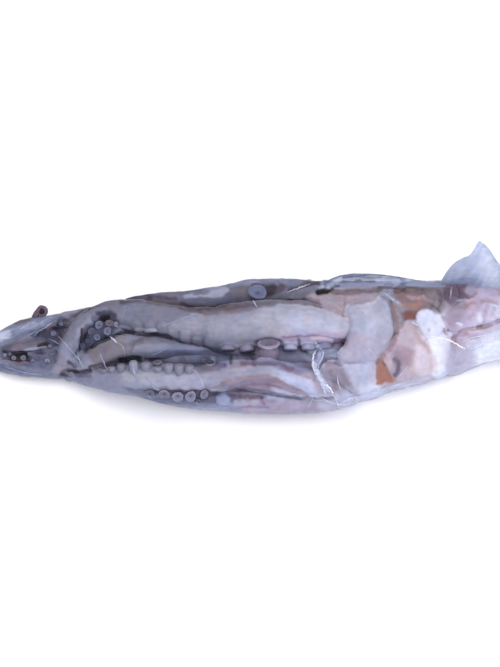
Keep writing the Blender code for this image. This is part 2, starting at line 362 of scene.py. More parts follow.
fleshLook = {
    "mottleSize": 5, "mottleEdge": 0.68,
    "mottleDepth": 0.10, "mottleTone": "#4a4258",  # how far pigment clouds darken the flesh
    "speckleTone": "#9a6048", "speckleSize": 1.5,  # pigment cells are finer, drawn to show
    "grainSize": 1.1, "grainShare": 0.25, "wrinkleSize": 4.5,
    "bumpStrength": 0.25, "bumpDepth": 0.6,
    "roughness": 0.42, "specular": 0.08,  # little, as the film lies wet against it
    "coat": 0.03, "coatRoughness": 0.25, "subsurface": 0.07, "subsurfaceDepth": 1.0,
}
suckerLook = {
    "mottleSize": 3, "mottleEdge": 0.7, "mottleDepth": 0.10, "mottleTone": "#4a4258",
    "grainSize": 1.0, "bumpStrength": 0.3, "bumpDepth": 0.3,
    "roughness": 0.4, "specular": 0.08, "coat": 0.03, "coatRoughness": 0.25,
    "subsurface": 0.07, "subsurfaceDepth": 1.0,
}
filmLook = {
    "clear": "#fcfcfd",
    "gloss": 0.3, "ior": 1.14,  # polyethylene is 1.5, but its wet inner side mirrors far less
    "creaseSize": 9, "creaseStretch": (0.35, 1.6, 1.0), "creaseTurn": 0.35,  # drawn along the bag
    "bumpStrength": 0.35, "bumpDepth": 0.5, "haze": 0.01,
}


def mixColor(tree, factor, first, second, blend="MIX"):
    made = addNode(tree, "ShaderNodeMix", {"data_type": "RGBA", "blend_type": blend})
    for index, value in ((0, factor), (6, first), (7, second)):
        if isinstance(value, str):
            made.inputs[index].default_value = linearColor(value)
        elif isinstance(value, float):
            made.inputs[index].default_value = value
        else:
            tree.links.new(value, made.inputs[index])
    return made.outputs[2]


def calc(tree, operation, first, second=None, clamp=False):
    made = addNode(tree, "ShaderNodeMath", {"operation": operation, "use_clamp": clamp})
    for index, value in ((0, first), (1, second)):
        if value is None:
            continue
        if isinstance(value, (int, float)):
            made.inputs[index].default_value = value
        else:
            tree.links.new(value, made.inputs[index])
    return made.outputs[0]


def noiseOf(tree, where, size, detail=2.0, rough=0.5):
    return addNode(tree, "ShaderNodeTexNoise",
                   {"Scale": patternScale(size), "Detail": detail, "Roughness": rough},
                   {"Vector": where}).outputs["Fac"]


def smoothNoise(tree, where, size, low, high):
    return addNode(tree, "ShaderNodeMapRange",
                   {"interpolation_type": "SMOOTHSTEP", "From Min": low, "From Max": high},
                   {"Value": noiseOf(tree, where, size, 3.0)}).outputs[0]


def keptOnPoints(tree, name, output="Fac"):
    return addNode(tree, "ShaderNodeAttribute", {"attribute_name": name}).outputs[output]


def mottledTone(tree, where, look):  # the painted colour, darkened by soft clouds
    cloud = smoothNoise(tree, where, look["mottleSize"], 0.35, look["mottleEdge"])
    return mixColor(tree, calc(tree, "MULTIPLY", cloud, look["mottleDepth"]),
                    keptOnPoints(tree, "tone", "Color"), look["mottleTone"], "MULTIPLY")


def bumpOf(tree, height, look):
    return addNode(tree, "ShaderNodeBump",
                   {"Strength": look["bumpStrength"], "Distance": look["bumpDepth"] * mm},
                   {"Height": height}).outputs[0]


def softFlesh(tree, color, height, look):
    surface = addNode(tree, "ShaderNodeBsdfPrincipled", {
        "Roughness": look["roughness"], "Specular IOR Level": look["specular"],
        "Coat Weight": look["coat"], "Coat Roughness": look["coatRoughness"],
        "Subsurface Weight": look["subsurface"], "Subsurface Radius": (1.0, 0.6, 0.55),
        "Subsurface Scale": look["subsurfaceDepth"] * mm,
    }, {"Base Color": color, "Normal": bumpOf(tree, height, look)})
    addNode(tree, "ShaderNodeOutputMaterial", links={"Surface": surface.outputs[0]})


def rawFlesh(name, look):
    # raw octopus muscle and skin: wet, soft to light, finely clouded and pricked with pigment
    material, tree = emptyMaterial(name)
    where = addNode(tree, "ShaderNodeTexCoord").outputs["Object"]
    color = mottledTone(tree, where, look)
    cells = calc(tree, "GREATER_THAN", noiseOf(tree, where, look["speckleSize"], 1.0), 0.62)
    color = mixColor(tree, calc(tree, "MULTIPLY", cells, keptOnPoints(tree, "speckle")), color,
                     look["speckleTone"])
    fine = noiseOf(tree, where, look["grainSize"], 3.0)
    wrinkle = noiseOf(tree, where, look["wrinkleSize"], 3.0)
    height = calc(tree, "ADD", calc(tree, "MULTIPLY", fine, look["grainShare"]), wrinkle)
    softFlesh(tree, color, height, look)
    return material


def suckerSkin(name, look):
    # sucker cups: firm pale rims round a duller dish and a dark pit, the dullness and dark being painted
    # shade
    material, tree = emptyMaterial(name)
    where = addNode(tree, "ShaderNodeTexCoord").outputs["Object"]
    grain = noiseOf(tree, where, look["grainSize"], 2.0)
    softFlesh(tree, mottledTone(tree, where, look), grain, look)
    return material


def clearFilm(name, look):
    # blown polyethylene film: clear with a satin gloss, milky where it creases or stands off
    material, tree = emptyMaterial(name)
    where = addNode(tree, "ShaderNodeTexCoord").outputs["Object"]
    stretched = addNode(tree, "ShaderNodeMapping",
                        {"Scale": look["creaseStretch"], "Rotation": (0, 0, look["creaseTurn"])},
                        {"Vector": where}).outputs[0]
    crinkle = noiseOf(tree, stretched, look["creaseSize"], 5.0, 0.62)
    streak = addNode(tree, "ShaderNodeMapRange",
                     {"interpolation_type": "SMOOTHSTEP", "From Min": 0.42, "From Max": 0.7,
                      "To Min": 0.8, "To Max": 1.25}, {"Value": crinkle}).outputs[0]
    share = calc(tree, "ADD", calc(tree, "MULTIPLY", keptOnPoints(tree, "milk"), streak), look["haze"], True)
    bump = bumpOf(tree, crinkle, look)
    cloudy = addNode(tree, "ShaderNodeBsdfDiffuse",
                     links={"Color": keptOnPoints(tree, "tone", "Color"), "Normal": bump})
    clear = addNode(tree, "ShaderNodeBsdfTransparent", {"Color": linearColor(look["clear"])})
    body = addNode(tree, "ShaderNodeMixShader", links={0: share, 1: clear.outputs[0], 2: cloudy.outputs[0]})
    gloss = addNode(tree, "ShaderNodeBsdfGlossy", {"Roughness": look["gloss"]}, {"Normal": bump})
    edge = addNode(tree, "ShaderNodeFresnel", {"IOR": look["ior"]}, {"Normal": bump})
    surface = addNode(tree, "ShaderNodeMixShader",
                      links={0: edge.outputs[0], 1: body.outputs[0], 2: gloss.outputs[0]})
    addNode(tree, "ShaderNodeOutputMaterial", links={"Surface": surface.outputs[0]})
    return material


fleshMaterial = rawFlesh("rawOctopusFlesh", fleshLook)
suckerMaterial = suckerSkin("rawSuckerSkin", suckerLook)
filmMaterial = clearFilm("clearBagFilm", filmLook)
print("materials made")

# colour and fine relief, as seen in the picture

tones = {
    "ink": "#262230", "coal": "#3a3648", "slate": "#53556d", "steel": "#6c6e86", "ash": "#7d7e92",
    "grey": "#8a8ba1", "pewter": "#9a9cb2", "pearl": "#adafc5", "satin": "#bcbed4", "cloud": "#c9cde2",
    "milk": "#e6e9f6", "brown": "#5b505a", "umber": "#453b44", "olive": "#6b6a78", "tan": "#9a92a0",
    "sand": "#8c757c", "clay": "#a1807a", "rust": "#8e5842", "plum": "#5f4f62", "wine": "#7c6680",
    "lilac": "#b0a6c2", "blush": "#c2b4c8", "rose": "#a590a4", "sky": "#b6bad8", "taupe": "#807a86",
    "stone": "#757688", "mist": "#cfd5e8", "dusk": "#80768a", "shell": "#cbc2cf", "navy": "#3c3f56",
    "umberPale": "#7f6a70", "dim": "#6d7390", "flint": "#8d8fa2", "oyster": "#9c9eb0", "fawn": "#736a77",
    "bark": "#4b4350", "moss": "#63616f", "rim": "#a39cb2", "frost": "#c9cee3", "brick": "#73453c",
    "heather": "#b3acc1", "fleece": "#aca0ad", "pale": "#dce1f0", "lead": "#4f4f61", "shale": "#61637a",
    "fog": "#a0a3b9", "ice": "#aeb5d2", "haze": "#8187a2", "pitch": "#100d16", "drab": "#74707c",
    "dove": "#7b7d9b",
}
patches = {  # closed outlines: tone, softness of the edge, strength, outline
    "backStrip": ("shale", 2, 0.85, ((95, 303), (150, 293), (190, 289), (230, 282), (262, 278), (312, 279),
        (322, 284), (310, 293), (285, 298), (262, 306), (225, 312), (190, 311), (165, 305), (140, 306),
        (110, 306))),
    "backEdge": ("haze", 1.5, 0.95, ((318, 277), (345, 273), (400, 275), (446, 280), (446, 286.5),
        (400, 288.5), (360, 288), (330, 287.5))),
    "backWhite": ("pewter", 1.2, 0.9, ((184, 298.5), (185, 295), (194, 293), (204, 294.5), (208, 289),
        (218, 286), (226, 286), (229, 290), (226, 296), (216, 297.5), (204, 297), (190, 298.5))),
    "backGrey": ("slate", 1.5, 0.8, ((226, 293), (236, 292), (243, 296), (238, 300), (226, 299))),
    "backFilm": ("ash", 2, 0.8, ((230, 286), (240, 281), (256, 279), (262, 281), (250, 285), (238, 289))),
    "backPaleRight": ("shale", 2, 0.8, ((280, 279), (308, 279), (300, 284), (290, 289), (283, 287))),
    "backDarkLeft": ("fawn", 1.2, 0.9, ((193, 295), (196, 291.5), (208, 289.5), (210, 292), (203, 295))),
    "eyeLeft": ("moss", 1.5, 0.85, ((229, 290), (238, 286), (250, 286), (248, 297), (238, 297),
        (231, 293))),
    "eyeHollow": ("bark", 1.5, 0.95, ((250, 286), (258, 281.5), (272, 281.5), (286, 286), (283, 291),
        (272, 296), (262, 299), (252, 294))),
    "eyeBlack": ("ink", 1.5, 0.75, ((266, 287), (273, 285), (277, 288), (272, 294), (266, 294))),
    "backOlive": ("olive", 2, 0.8, ((262, 300), (276, 294), (294, 291), (318, 289), (316, 295), (296, 298),
        (278, 300), (266, 304))),
    "upperArmLeft": ("stone", 3, 0.95, ((110, 305), (132, 301), (160, 303), (190, 310), (226, 313),
        (228, 355), (200, 348), (175, 341), (150, 337), (125, 336), (114, 320))),
    "upperArmFront": ("flint", 6, 0.9, ((166, 327), (186, 318), (206, 315), (226, 320), (232, 358),
        (200, 350), (176, 343))),
    "upperArmMiddle": ("flint", 7, 0.95, ((196, 315), (226, 314), (256, 308), (284, 302), (286, 346),
        (256, 358), (226, 357), (204, 350))),
    "upperArmRight": ("oyster", 8, 0.95, ((258, 312), (272, 303), (294, 300), (318, 307), (338, 316),
        (350, 328), (347, 341), (312, 344), (285, 345), (262, 341))),
    # painted highlight: the lit crown of the upper arm
    "upperArmLitCrown": ("pearl", 9, 0.95, ((284, 318), (310, 314), (334, 320), (348, 329), (346, 336),
        (318, 334), (288, 332))),
    "upperArmEdge": ("lilac", 3, 0.7, ((276, 336), (310, 331), (344, 332), (346, 342), (318, 346),
        (280, 346))),
    "bend": ("stone", 1.6, 0.98, ((67, 321), (78, 313), (95, 306), (118, 302), (120, 311), (100, 313),
        (90, 318), (79, 328), (77, 342), (72, 356), (66, 366), (64, 376), (50, 374), (56, 356), (58, 338),
        (61, 328))),
    "bendFoot": ("grey", 3, 0.7, ((58, 344), (72, 344), (70, 358), (64, 374), (50, 374), (56, 356))),
    "bendRight": ("slate", 2, 0.85, ((82, 331), (87, 324), (92, 327), (90, 338), (92, 350), (85, 352),
        (81, 346))),
    # painted shade round the cluster of suckers
    "cluster": ("navy", 3, 0.85, ((90, 329), (97, 317), (111, 311), (118, 321), (113, 332), (102, 343),
        (92, 352), (84, 352), (79, 340))),
    "middleBrown": ("drab", 2.5, 0.95, ((88, 353), (96, 342), (110, 336), (128, 333), (134, 342),
        (130, 356), (116, 362), (96, 365))),
    "middleWrinkled": ("ash", 3, 0.9, ((126, 336), (150, 334), (176, 339), (184, 349), (150, 357),
        (130, 358))),
    # painted shade: the middle arm lies deep between the two big arms
    "middleInShade": ("#7a80a0", 4, 0.95, ((152, 352), (180, 344), (215, 349), (252, 354), (252, 366),
        (215, 363), (180, 361), (152, 360))),
    "middleMauve": ("dove", 3, 0.95, ((246, 351), (276, 347), (316, 346), (318, 368), (300, 374),
        (276, 367), (250, 364))),
    "ringStalk": ("rose", 1.5, 0.9, ((257, 350), (275, 350), (274.5, 356), (272, 359), (260, 359),
        (257.5, 356))),
    "middleRoot": ("#b2b8d6", 3, 0.9, ((305, 349), (326, 345), (345, 344), (345, 360), (318, 364),
        (306, 360))),
    "middleWedge": ("wine", 1.5, 0.8, ((322, 344), (346, 338), (347, 344), (332, 350))),
    "lowerArmLeft": ("grey", 4, 0.95, ((70, 364), (104, 370), (140, 374), (146, 390), (110, 388),
        (76, 382))),
    "lowerArm": ("oyster", 4, 0.95, ((124, 372), (160, 374), (206, 375), (224, 368), (224, 384), (200, 390),
        (160, 392), (126, 388))),
    "lowerWhite": ("#9499b5", 2.5, 0.6, ((163, 384), (178, 378), (196, 376.5), (203, 382), (198, 388),
        (178, 389))),
    "whiteBandLeft": ("grey", 2, 0.95, ((205, 388), (208, 377), (222, 369), (246, 366), (270, 366.5),
        (270, 376), (244, 377), (222, 382))),
    "whiteBandMiddle": ("pewter", 4, 0.7, ((232, 368), (250, 366.5), (270, 366.5), (284, 369), (284, 377),
        (262, 373), (240, 374))),
    "whiteBandRight": ("ice", 3.5, 0.98, ((280, 371), (289, 373.5), (300, 378), (319, 384), (323, 395),
        (304, 393.5), (291, 387), (282, 379.5))),
    "paleStrip": ("ash", 1.5, 0.85, ((210, 388.5), (216, 385.5), (228, 383), (236, 384), (230, 388),
        (218, 389.5))),
    "muscle": ("dusk", 2.5, 0.95, ((226, 387), (244, 379), (262, 376), (276, 380), (292, 388), (308, 395),
        (296, 399), (262, 393), (238, 394))),
    "muscleGrey": ("pearl", 3, 0.85, ((270, 386), (290, 388), (318, 396), (336, 398), (318, 403),
        (284, 398))),
    "frontShadow": ("slate", 3, 0.85, ((122, 387), (140, 391), (160, 393), (205, 392.5), (232, 395),
        (262, 395), (262, 400), (232, 404), (200, 406), (150, 401))),
    "lowPink": ("#9a92a9", 3, 0.85, ((230, 404), (264, 399), (300, 400), (345, 402), (330, 413),
        (240, 413))),
    "tanWeb": ("tan", 2, 0.95, ((304, 297), (330, 289), (381, 289), (380, 295), (372, 301), (360, 305),
        (346, 306), (345, 317), (336, 313), (318, 306))),
    "webUpper": ("fog", 2.5, 0.98, ((346, 318), (347, 307), (363, 306), (374, 302), (382, 296), (389, 297),
        (393, 312), (396, 328), (391, 342), (384, 352), (377, 364), (352, 366), (340, 363), (338, 354),
        (347, 342), (353, 330))),
    "webLilac": ("rim", 6, 0.5, ((340, 345), (356, 332), (386, 336), (382, 352), (374, 362), (345, 361))),
    "webLower": ("pearl", 3, 0.95, ((334, 366), (352, 363), (377, 364), (377, 380), (392, 388), (376, 400),
        (345, 408), (322, 412), (318, 392))),
    "webLowRight": ("mist", 5, 0.8, ((360, 386), (377, 382), (392, 387), (378, 398), (360, 402))),
    "webShade": ("dusk", 5, 0.72, ((312, 366), (336, 364), (349, 376), (347, 388), (332, 393), (316, 388))),
    "webNeck": ("ash", 2, 0.9, ((379, 287), (397, 286.5), (399, 298), (391, 303), (381, 297))),
    "headBrown": ("umberPale", 3, 0.95, ((394, 292), (408, 284), (442, 284), (446, 298), (438, 309),
        (424, 311), (414, 311), (402, 306))),
    "headTop": ("brown", 2, 0.7, ((396, 287), (410, 285), (430, 287), (440, 289.5), (440, 293), (418, 293),
        (402, 292))),
    "headGrey": ("taupe", 3, 0.8, ((426, 292), (446, 292), (446, 308), (436, 314), (428, 308))),
    "headFolds": ("taupe", 3, 0.8, ((390, 302), (402, 306), (413, 312), (405, 324), (398, 332),
        (393, 322))),
    "headClay": ("sand", 3, 0.7, ((405, 302), (421, 302), (418, 311), (405, 310))),
    "rustUpper": ("plum", 1.6, 0.6, ((402.5, 312), (417, 310.5), (417.5, 318), (411, 321.5), (402.5, 319))),
    "rustUpperHeart": ("brick", 1.6, 0.85, ((404, 313.5), (416, 312), (416, 317), (410, 320), (404, 318))),
    "eyeLobe": ("fleece", 2.5, 0.98, ((399, 331), (410, 320), (418, 326), (424, 338), (432, 346),
        (437, 362), (436, 378), (410, 388), (386, 392), (376, 376), (378, 362), (386, 350), (392, 342))),
    "eyeLobeRight": ("shell", 4, 0.9, ((416, 346), (427, 348), (435, 362), (434, 376), (420, 380),
        (414, 364))),
    "eyeLobeLow": ("shell", 4, 0.4, ((404, 362), (424, 352), (434, 366), (430, 381), (402, 385),
        (398, 374))),
    "eyeLobeSmear": ("#8b7886", 5, 0.75, ((393, 350), (407, 348), (414, 357), (409, 366), (396, 362))),
    # painted shade in the crease low on the eye lobe
    "eyeLowCreaseShade": ("dusk", 2.5, 0.7, ((394, 357), (399, 356), (402, 364), (400, 374), (395, 379),
        (392, 370))),
    "eyeBrown": ("rose", 1.8, 0.8, ((379, 361), (386, 350), (394, 338), (397, 343), (390, 354),
        (385, 362))),
    "rustLower": ("rust", 1.2, 0.68, ((377, 361), (382.5, 359.5), (387.5, 367), (394, 380.5), (390, 382.5),
        (385, 381.5), (377, 384.5))),
    "siphon": ("frost", 2, 0.95, ((417, 313), (426, 308), (433, 312), (440, 321), (445, 330), (442, 336),
        (432, 339), (423, 341), (418, 331), (416, 320))),
    "siphonLow": ("#dbe0f0", 2.5, 0.98, ((427, 340), (438, 336), (449, 341), (451.5, 350), (449, 362),
        (445, 371), (438, 377), (432, 376), (433, 364), (431, 352))),
    "mantleLilac": ("lilac", 2.5, 0.9, ((467, 286), (482, 283), (500, 283), (503, 300), (480, 305),
        (465, 300))),
    "mantlePurple": ("plum", 1.5, 0.95, ((443, 284), (452, 279), (470, 277), (479, 281), (479, 288),
        (474, 296), (464, 301), (453, 306), (446, 301))),
    # painted highlight on the dark purple skin of the mantle
    "mantlePurpleHighlight": ("rim", 2.5, 0.85, ((467, 285), (476, 283), (480, 290), (472, 296), (465, 293))),
    "mantlePink": ("lilac", 3, 0.9, ((448, 309), (480, 302), (505, 298), (505, 318), (470, 327),
        (452, 332))),
    # painted shade over the left of the mantle, where it folds
    "mantleShadowLeft": ("dusk", 6, 0.6, ((445, 302), (458, 300), (469, 303), (466, 313), (461, 324), (452, 328),
        (445, 318))),
    "mantlePaleFar": ("cloud", 3, 0.8, ((489, 306), (505, 301), (505, 318), (491, 320))),
    "mantleBrownFold": ("rose", 3, 0.6, ((464, 300), (478, 297), (484, 302), (478, 309), (467, 310))),
    "mantlePaleFold": ("sky", 2.5, 0.6, ((474, 312), (482, 310), (487, 318), (480, 324), (473, 321))),
    "mantleLow": ("satin", 3, 0.95, ((453, 337), (480, 329), (505, 322), (505, 362), (470, 370),
        (448, 374))),
    "mantleSnow": ("pale", 5, 0.95, ((478, 346), (505, 338), (505, 368), (480, 372))),
    "mantleLowLeft": ("rim", 9, 0.5, ((446, 340), (464, 342), (468, 362), (448, 374))),
    "mantleLowLilac": ("lilac", 3, 0.7, ((460, 334), (478, 332), (480, 342), (466, 350), (458, 346))),
    "leftDark": ("slate", 2.5, 0.95, ((2, 344), (14, 348), (34, 350), (48, 347), (58, 350), (55, 362),
        (50, 370), (30, 368), (10, 364), (0, 356))),
    "leftInk": ("ink", 1.6, 0.95, ((9, 351), (14, 351), (26, 352), (33, 357), (29, 362), (14, 363),
        (9, 359))),
    "leftMiddle": ("navy", 2.5, 0.95, ((34, 331), (44, 326), (56, 318), (66, 319), (60, 332), (57, 347),
        (46, 345), (38, 340))),
    "leftBrown": ("moss", 1.5, 0.9, ((9, 342), (22, 340), (36, 338), (45, 340), (40, 345), (26, 349),
        (10, 350))),
    "leftBrownEnd": ("fawn", 1.5, 0.85, ((9, 343), (16, 341.5), (23, 341.5), (22, 349), (11, 350.5))),
    "leftDusk": ("coal", 2, 0.8, ((52, 330), (58, 326), (63, 330), (60, 340), (55, 341))),
    "leftTeal": ("navy", 1.6, 0.8, ((29, 332), (34, 330), (39, 332), (37, 337), (31, 337))),
    "leftPale": ("steel", 2.5, 0.7, ((30, 356), (42, 350), (54, 352), (52, 368), (34, 368))),
    "lowerLeftDark": ("ash", 3, 0.75, ((60, 371), (84, 371), (92, 382), (66, 384))),
}
marks = {  # lines: tone, reach, strength, depth of the groove it sits in, route
    "oliveStrip": ("lead", 3.2, 0.45, 0, ((146, 297), (165, 299), (190, 301), (225, 301), (238, 300))),
    "armStripe": ("brown", 3.2, 1.0, 0.4, ((150, 301.5), (166, 302.5), (177, 305), (189, 308.5), (202, 310),
        (218, 309), (236, 306.5), (252, 304))),
    "armStripeDark": ("umber", 1.5, 0.9, 0.4, ((181, 303.5), (191, 307.5), (204, 308.5), (217, 307),
        (228, 304.5))),
    "armStripeHeart": ("bark", 3.0, 0.5, 0, ((184, 304), (192, 306), (201, 307.5))),
    "armStripeTail": ("fawn", 2.6, 0.9, 0, ((206, 312.5), (224, 312), (242, 310.5), (256, 307.5),
        (266, 304.5), (276, 303))),
    "stripeEdge": ("moss", 2.4, 0.85, 0.4, ((254, 305), (268, 302.5), (280, 301.5), (292, 301.5))),
    "rustEdge": ("plum", 2.0, 0.8, 0.4, ((288, 300.5), (300, 302.5), (312, 304), (321, 306))),
    "darkStreak": ("umber", 2.4, 0.9, 0.5, ((290, 290), (299, 286.5), (309, 284), (318, 282.5))),
    "darkStreakCore": ("bark", 0.9, 0.8, 0, ((293, 289), (303, 285), (317, 282.5))),
    "darkStreakLeft": ("bark", 2.0, 0.85, 0.4, ((262, 282.5), (273, 283.5), (284, 286))),
    "topSpotLeft": ("bark", 1.5, 0.85, 0.4, ((150, 297), (160, 296.5), (168, 298), (176, 299))),
    "topShade": ("coal", 3.4, 0.75, 0, ((122, 301.5), (136, 298.5), (150, 296.5))),
    "topShadeLeft": ("fawn", 2.4, 0.8, 0, ((98, 305), (108, 304), (118, 302))),
    "topSpotFar": ("umber", 1.5, 0.8, 0.3, ((98, 313.5), (101, 313.8))),
    "headHole": ("umber", 1.6, 0.8, 0.6, ((379, 287.5), (388, 287), (398, 288.5))),
    "webGap": ("fawn", 2.6, 0.9, 0, ((295, 299), (308, 299.5), (318, 301.5))),
    "tanTop": ("brown", 3.0, 0.75, 0, ((334, 292.5), (346, 292), (360, 291), (379, 290))),
    "blackHole": ("pitch", 2.6, 1.5, 0.4, ((318.5, 291.8), (324, 290.8), (330.5, 289))),
    "smallHole": ("coal", 1.5, 0.9, 0.6, ((333, 286), (338, 285.5))),
    "tanLine": ("sand", 1.1, 0.45, 0.5, ((344, 290), (345, 303), (342.5, 317))),
    "tanLower": ("sand", 1.2, 0.4, 0, ((318, 306), (336, 313), (349, 318))),
    "bendBack": ("bark", 1.8, 0.95, 0.6, ((58.6, 341), (62.5, 331), (66.5, 322.5), (72.5, 316.5),
        (86, 309.5), (97, 304.3))),
    "bendBackShade": ("plum", 2.2, 0.6, 0, ((60, 321), (66, 318), (72, 315))),
    "bendShine": ("pewter", 1.8, 0.25, -0.2, ((77.5, 322), (77, 332), (76, 346))),
    "bendFoot": ("coal", 2.2, 0.5, 0.8, ((60, 376), (68, 369), (78, 374), (90, 376))),
    "clusterHole": ("pitch", 3.0, 1.5, 0.6, ((102, 318.5), (107, 317.5))),
    "clusterPale": ("grey", 3.0, 0.8, 0, ((110, 337), (117, 334), (122, 330))),
    "clusterTop": ("coal", 2.6, 0.85, 0.5, ((98, 313.5), (106, 313), (114, 316))),
    "clusterLeft": ("coal", 1.8, 0.5, 0.8, ((84, 331), (85, 340), (87, 349))),
    "bendRightLine": ("ink", 1.3, 0.8, 0.8, ((82, 329), (82, 337), (79.5, 346), (77, 354))),
    "bendBlot": ("coal", 2.6, 0.8, 0.5, ((69, 362), (74, 365))),
    "bendLeftTop": ("ink", 1.8, 0.8, 0.8, ((55, 329), (59, 323), (66, 320))),
    "bendLeftLow": ("coal", 1.8, 0.6, 0.8, ((56, 351), (57, 342), (59, 334))),
    "veilHole": ("ink", 1.8, 0.8, 0.6, ((35, 334), (38, 332))),
    "spotTeal": ("coal", 1.8, 0.8, 0.6, ((38, 352.5), (41, 352.5))),
    "bendBottom": ("ink", 1.9, 0.85, 0.8, ((69, 371), (76, 371.5), (83, 372), (90, 370.5))),
    "clusterDiagonal": ("ink", 1.5, 0.95, 1.0, ((92, 347.5), (100, 343), (107, 338.5), (113, 337))),
    "upperEdgeLight": ("cloud", 4.5, 0.8, 0, ((226, 346), (240, 347), (253, 347))),
    # painted shade along the underside of the upper arm
    "underArmShade": ("coal", 1.3, 0.7, 0.6, ((113, 337), (122, 333), (131, 332.5), (145, 334.5), (160, 334),
        (172, 337), (179, 341), (190, 344), (205, 346), (217, 352), (236, 356), (254, 354))),
    # painted shade in a hollow under the arm
    "underArmShadeHole": ("coal", 1.5, 0.8, 0.5, ((122, 329), (127, 330), (131, 330.5))),
    # painted highlight: the bright line of a film crease along the arm's edge
    "edgeHighlight": ("milk", 2.2, 1.0, 0, ((137, 329.5), (142, 330.5), (149, 330), (155, 330.5))),
    "middleTopShade": ("moss", 3.6, 0.75, 0, ((128, 346), (136, 342), (148, 340), (162, 340),
        (174, 342.5))),
    "middleWrinkle": ("brown", 1.2, 0.6, 0.4, ((130, 352), (137, 341), (149, 336), (165, 337), (172, 339))),
    "middleFold": ("taupe", 1.8, 0.6, 0.3, ((122, 338), (128, 345), (126, 356))),
    "middleShade": ("slate", 3.5, 0.35, 0.3, ((205, 351), (228, 356), (250, 360))),
    # painted shade in the gap between the middle and lower arms
    "gapBlackShade": ("pitch", 2.7, 1.5, 0.6, ((120, 361), (125, 360), (132, 358.6), (140, 358.4))),
    "gapBlackShadeLeft": ("umber", 1.6, 0.85, 0.8, ((89, 367.5), (97, 366), (106, 364.5), (118, 362))),
    "gapRust": ("sand", 1.6, 0.5, 0, ((97, 365), (103, 363.5))),
    # more painted shade along the same gap
    "gapShadeSpots": ("ink", 1.9, 0.9, 0.8, ((150, 360), (163, 360.5), (176, 360.5), (190, 361), (200, 362))),
    "gapBlackShadeRight": ("coal", 1.8, 0.75, 1.0, ((146, 360), (165, 361.5), (200, 363), (214, 363))),
    "ringShadow": ("plum", 2.2, 0.8, 0.6, ((245, 352), (252, 358), (254, 363))),
    "ringStalkLump": ("lilac", 5.5, 0.35, -2.2, ((262, 355), (270, 355))),
    "pegShade": ("stone", 4.5, 0.65, 0, ((98, 369), (130, 367.5), (160, 368.5), (190, 369), (212, 369.5))),
    "farBlock": ("ash", 3.6, 0.8, -1.0, ((233.5, 359.5), (241.5, 358.8))),
    "farBlockLeft": ("stone", 2.8, 0.6, -0.8, ((222.5, 361), (227.5, 361))),
    # painted shade in the gap between two far blocks
    "farGapShade": ("coal", 1.5, 0.8, 0.6, ((231, 357), (230.5, 363))),
    "bandShade": ("#3a3548", 4.2, 1.1, 0, ((196, 363.5), (206, 362), (215, 362.5))),
    "bandShadeLow": ("#5d5870", 3.0, 0.7, 0, ((198, 368), (212, 368.5), (219, 368))),
    "bandShadeEnd": ("#5a5370", 2.8, 0.85, 0, ((215, 364.5), (224, 366))),
    "bandShadeRight": ("dusk", 2.6, 0.6, 0, ((232, 366), (243, 365))),
    "cupHole": ("coal", 1.6, 0.85, 0.8, ((208.5, 360), (211, 361))),
    "cupRim": ("pearl", 0.8, 0.85, -0.3, ((206, 359.5), (206.5, 363.5), (210, 365), (213.5, 363),
        (213.5, 359))),
    "ringOutline": ("plum", 1.2, 0.7, 0.6, ((256, 342.5), (260, 339.8), (270, 338.8), (279, 339.8),
        (282.5, 343))),
    "purpleLine": ("wine", 1.1, 0.7, 0.5, ((283, 337.5), (300, 336.5), (318, 336), (335, 339.5),
        (347, 340))),
    "edgeFold": ("blush", 2.0, 0.7, -0.3, ((312, 340), (322, 338), (332, 341))),
    "blockShadow": ("plum", 1.5, 0.7, 0.8, ((299, 340), (300, 349), (310, 351), (322, 350))),
    "pinkUnder": ("plum", 2.0, 0.8, 0.4, ((242, 364), (258, 363.5), (278, 364.5), (292, 369))),
    "brownSpot": ("wine", 2.6, 0.7, 0, ((303, 364), (307, 366))),
    "bandEdge": ("sand", 2.0, 0.65, 0.6, ((222, 383), (240, 378.5), (264, 376), (277, 380), (291, 387.5),
        (306, 395))),
    "bandTop": ("wine", 2.4, 0.6, 0.4, ((280, 368), (294, 371.5), (309, 377))),
    "muscleLine": ("wine", 1.2, 0.6, 0.6, ((236, 389), (256, 384), (276, 387), (298, 394))),
    "muscleLow": ("steel", 1.6, 0.75, 0.8, ((228, 392), (246, 389.5), (264, 392), (290, 397), (322, 399),
        (334, 398))),
    "lowerSeam": ("sand", 1.3, 0.5, 0.4, ((140, 388.5), (158, 391.5), (182, 391.5), (206, 389.5),
        (224, 384))),
    # painted shade along the bottom front, under the arms
    "frontShadowLine": ("coal", 1.8, 0.75, 0.8, ((128, 389), (142, 391.5), (170, 392.3), (205, 392.3), (228, 395),
        (250, 396), (262, 397))),
    "lowRed": ("wine", 1.5, 0.55, 0.3, ((236, 408), (252, 406.5), (268, 408))),
    # painted shadow cast by the arm tip on the web
    "webTipShadow": ("rim", 3.4, 0.75, 0.5, ((354, 334), (350, 340), (345, 346))),
    # painted shade along the top edge of the lower web
    "webLowerEdgeShade": ("dusk", 3.5, 0.85, 0, ((315, 378), (320, 369), (327, 364), (338, 362))),
    "webSplit": ("steel", 1.4, 0.35, 0.2, ((320, 362), (336, 363), (352, 362.5), (366, 363))),
    "webSplitDark": ("slate", 1.3, 0.5, 0.3, ((334, 364), (342, 365))),
    "webShine": ("satin", 7, 0.5, 0, ((368, 311), (372, 320), (372, 330))),
    # painted shade along the right edge of the web dome
    "webEdgeShade": ("pewter", 3.0, 0.3, 0, ((391, 312), (393, 328), (388, 344), (378, 358))),
    "webSmearLeft": ("taupe", 2.0, 0.7, 0.4, ((331, 371), (333, 380), (336, 388))),
    "webSmearRight": ("taupe", 2.0, 0.55, 0.4, ((342, 370), (345, 380), (352, 388))),
    "webRim": ("umberPale", 2.5, 0.7, 0.8, ((390, 302), (394, 314), (396.5, 328), (393, 342), (386, 352),
        (377.5, 363))),
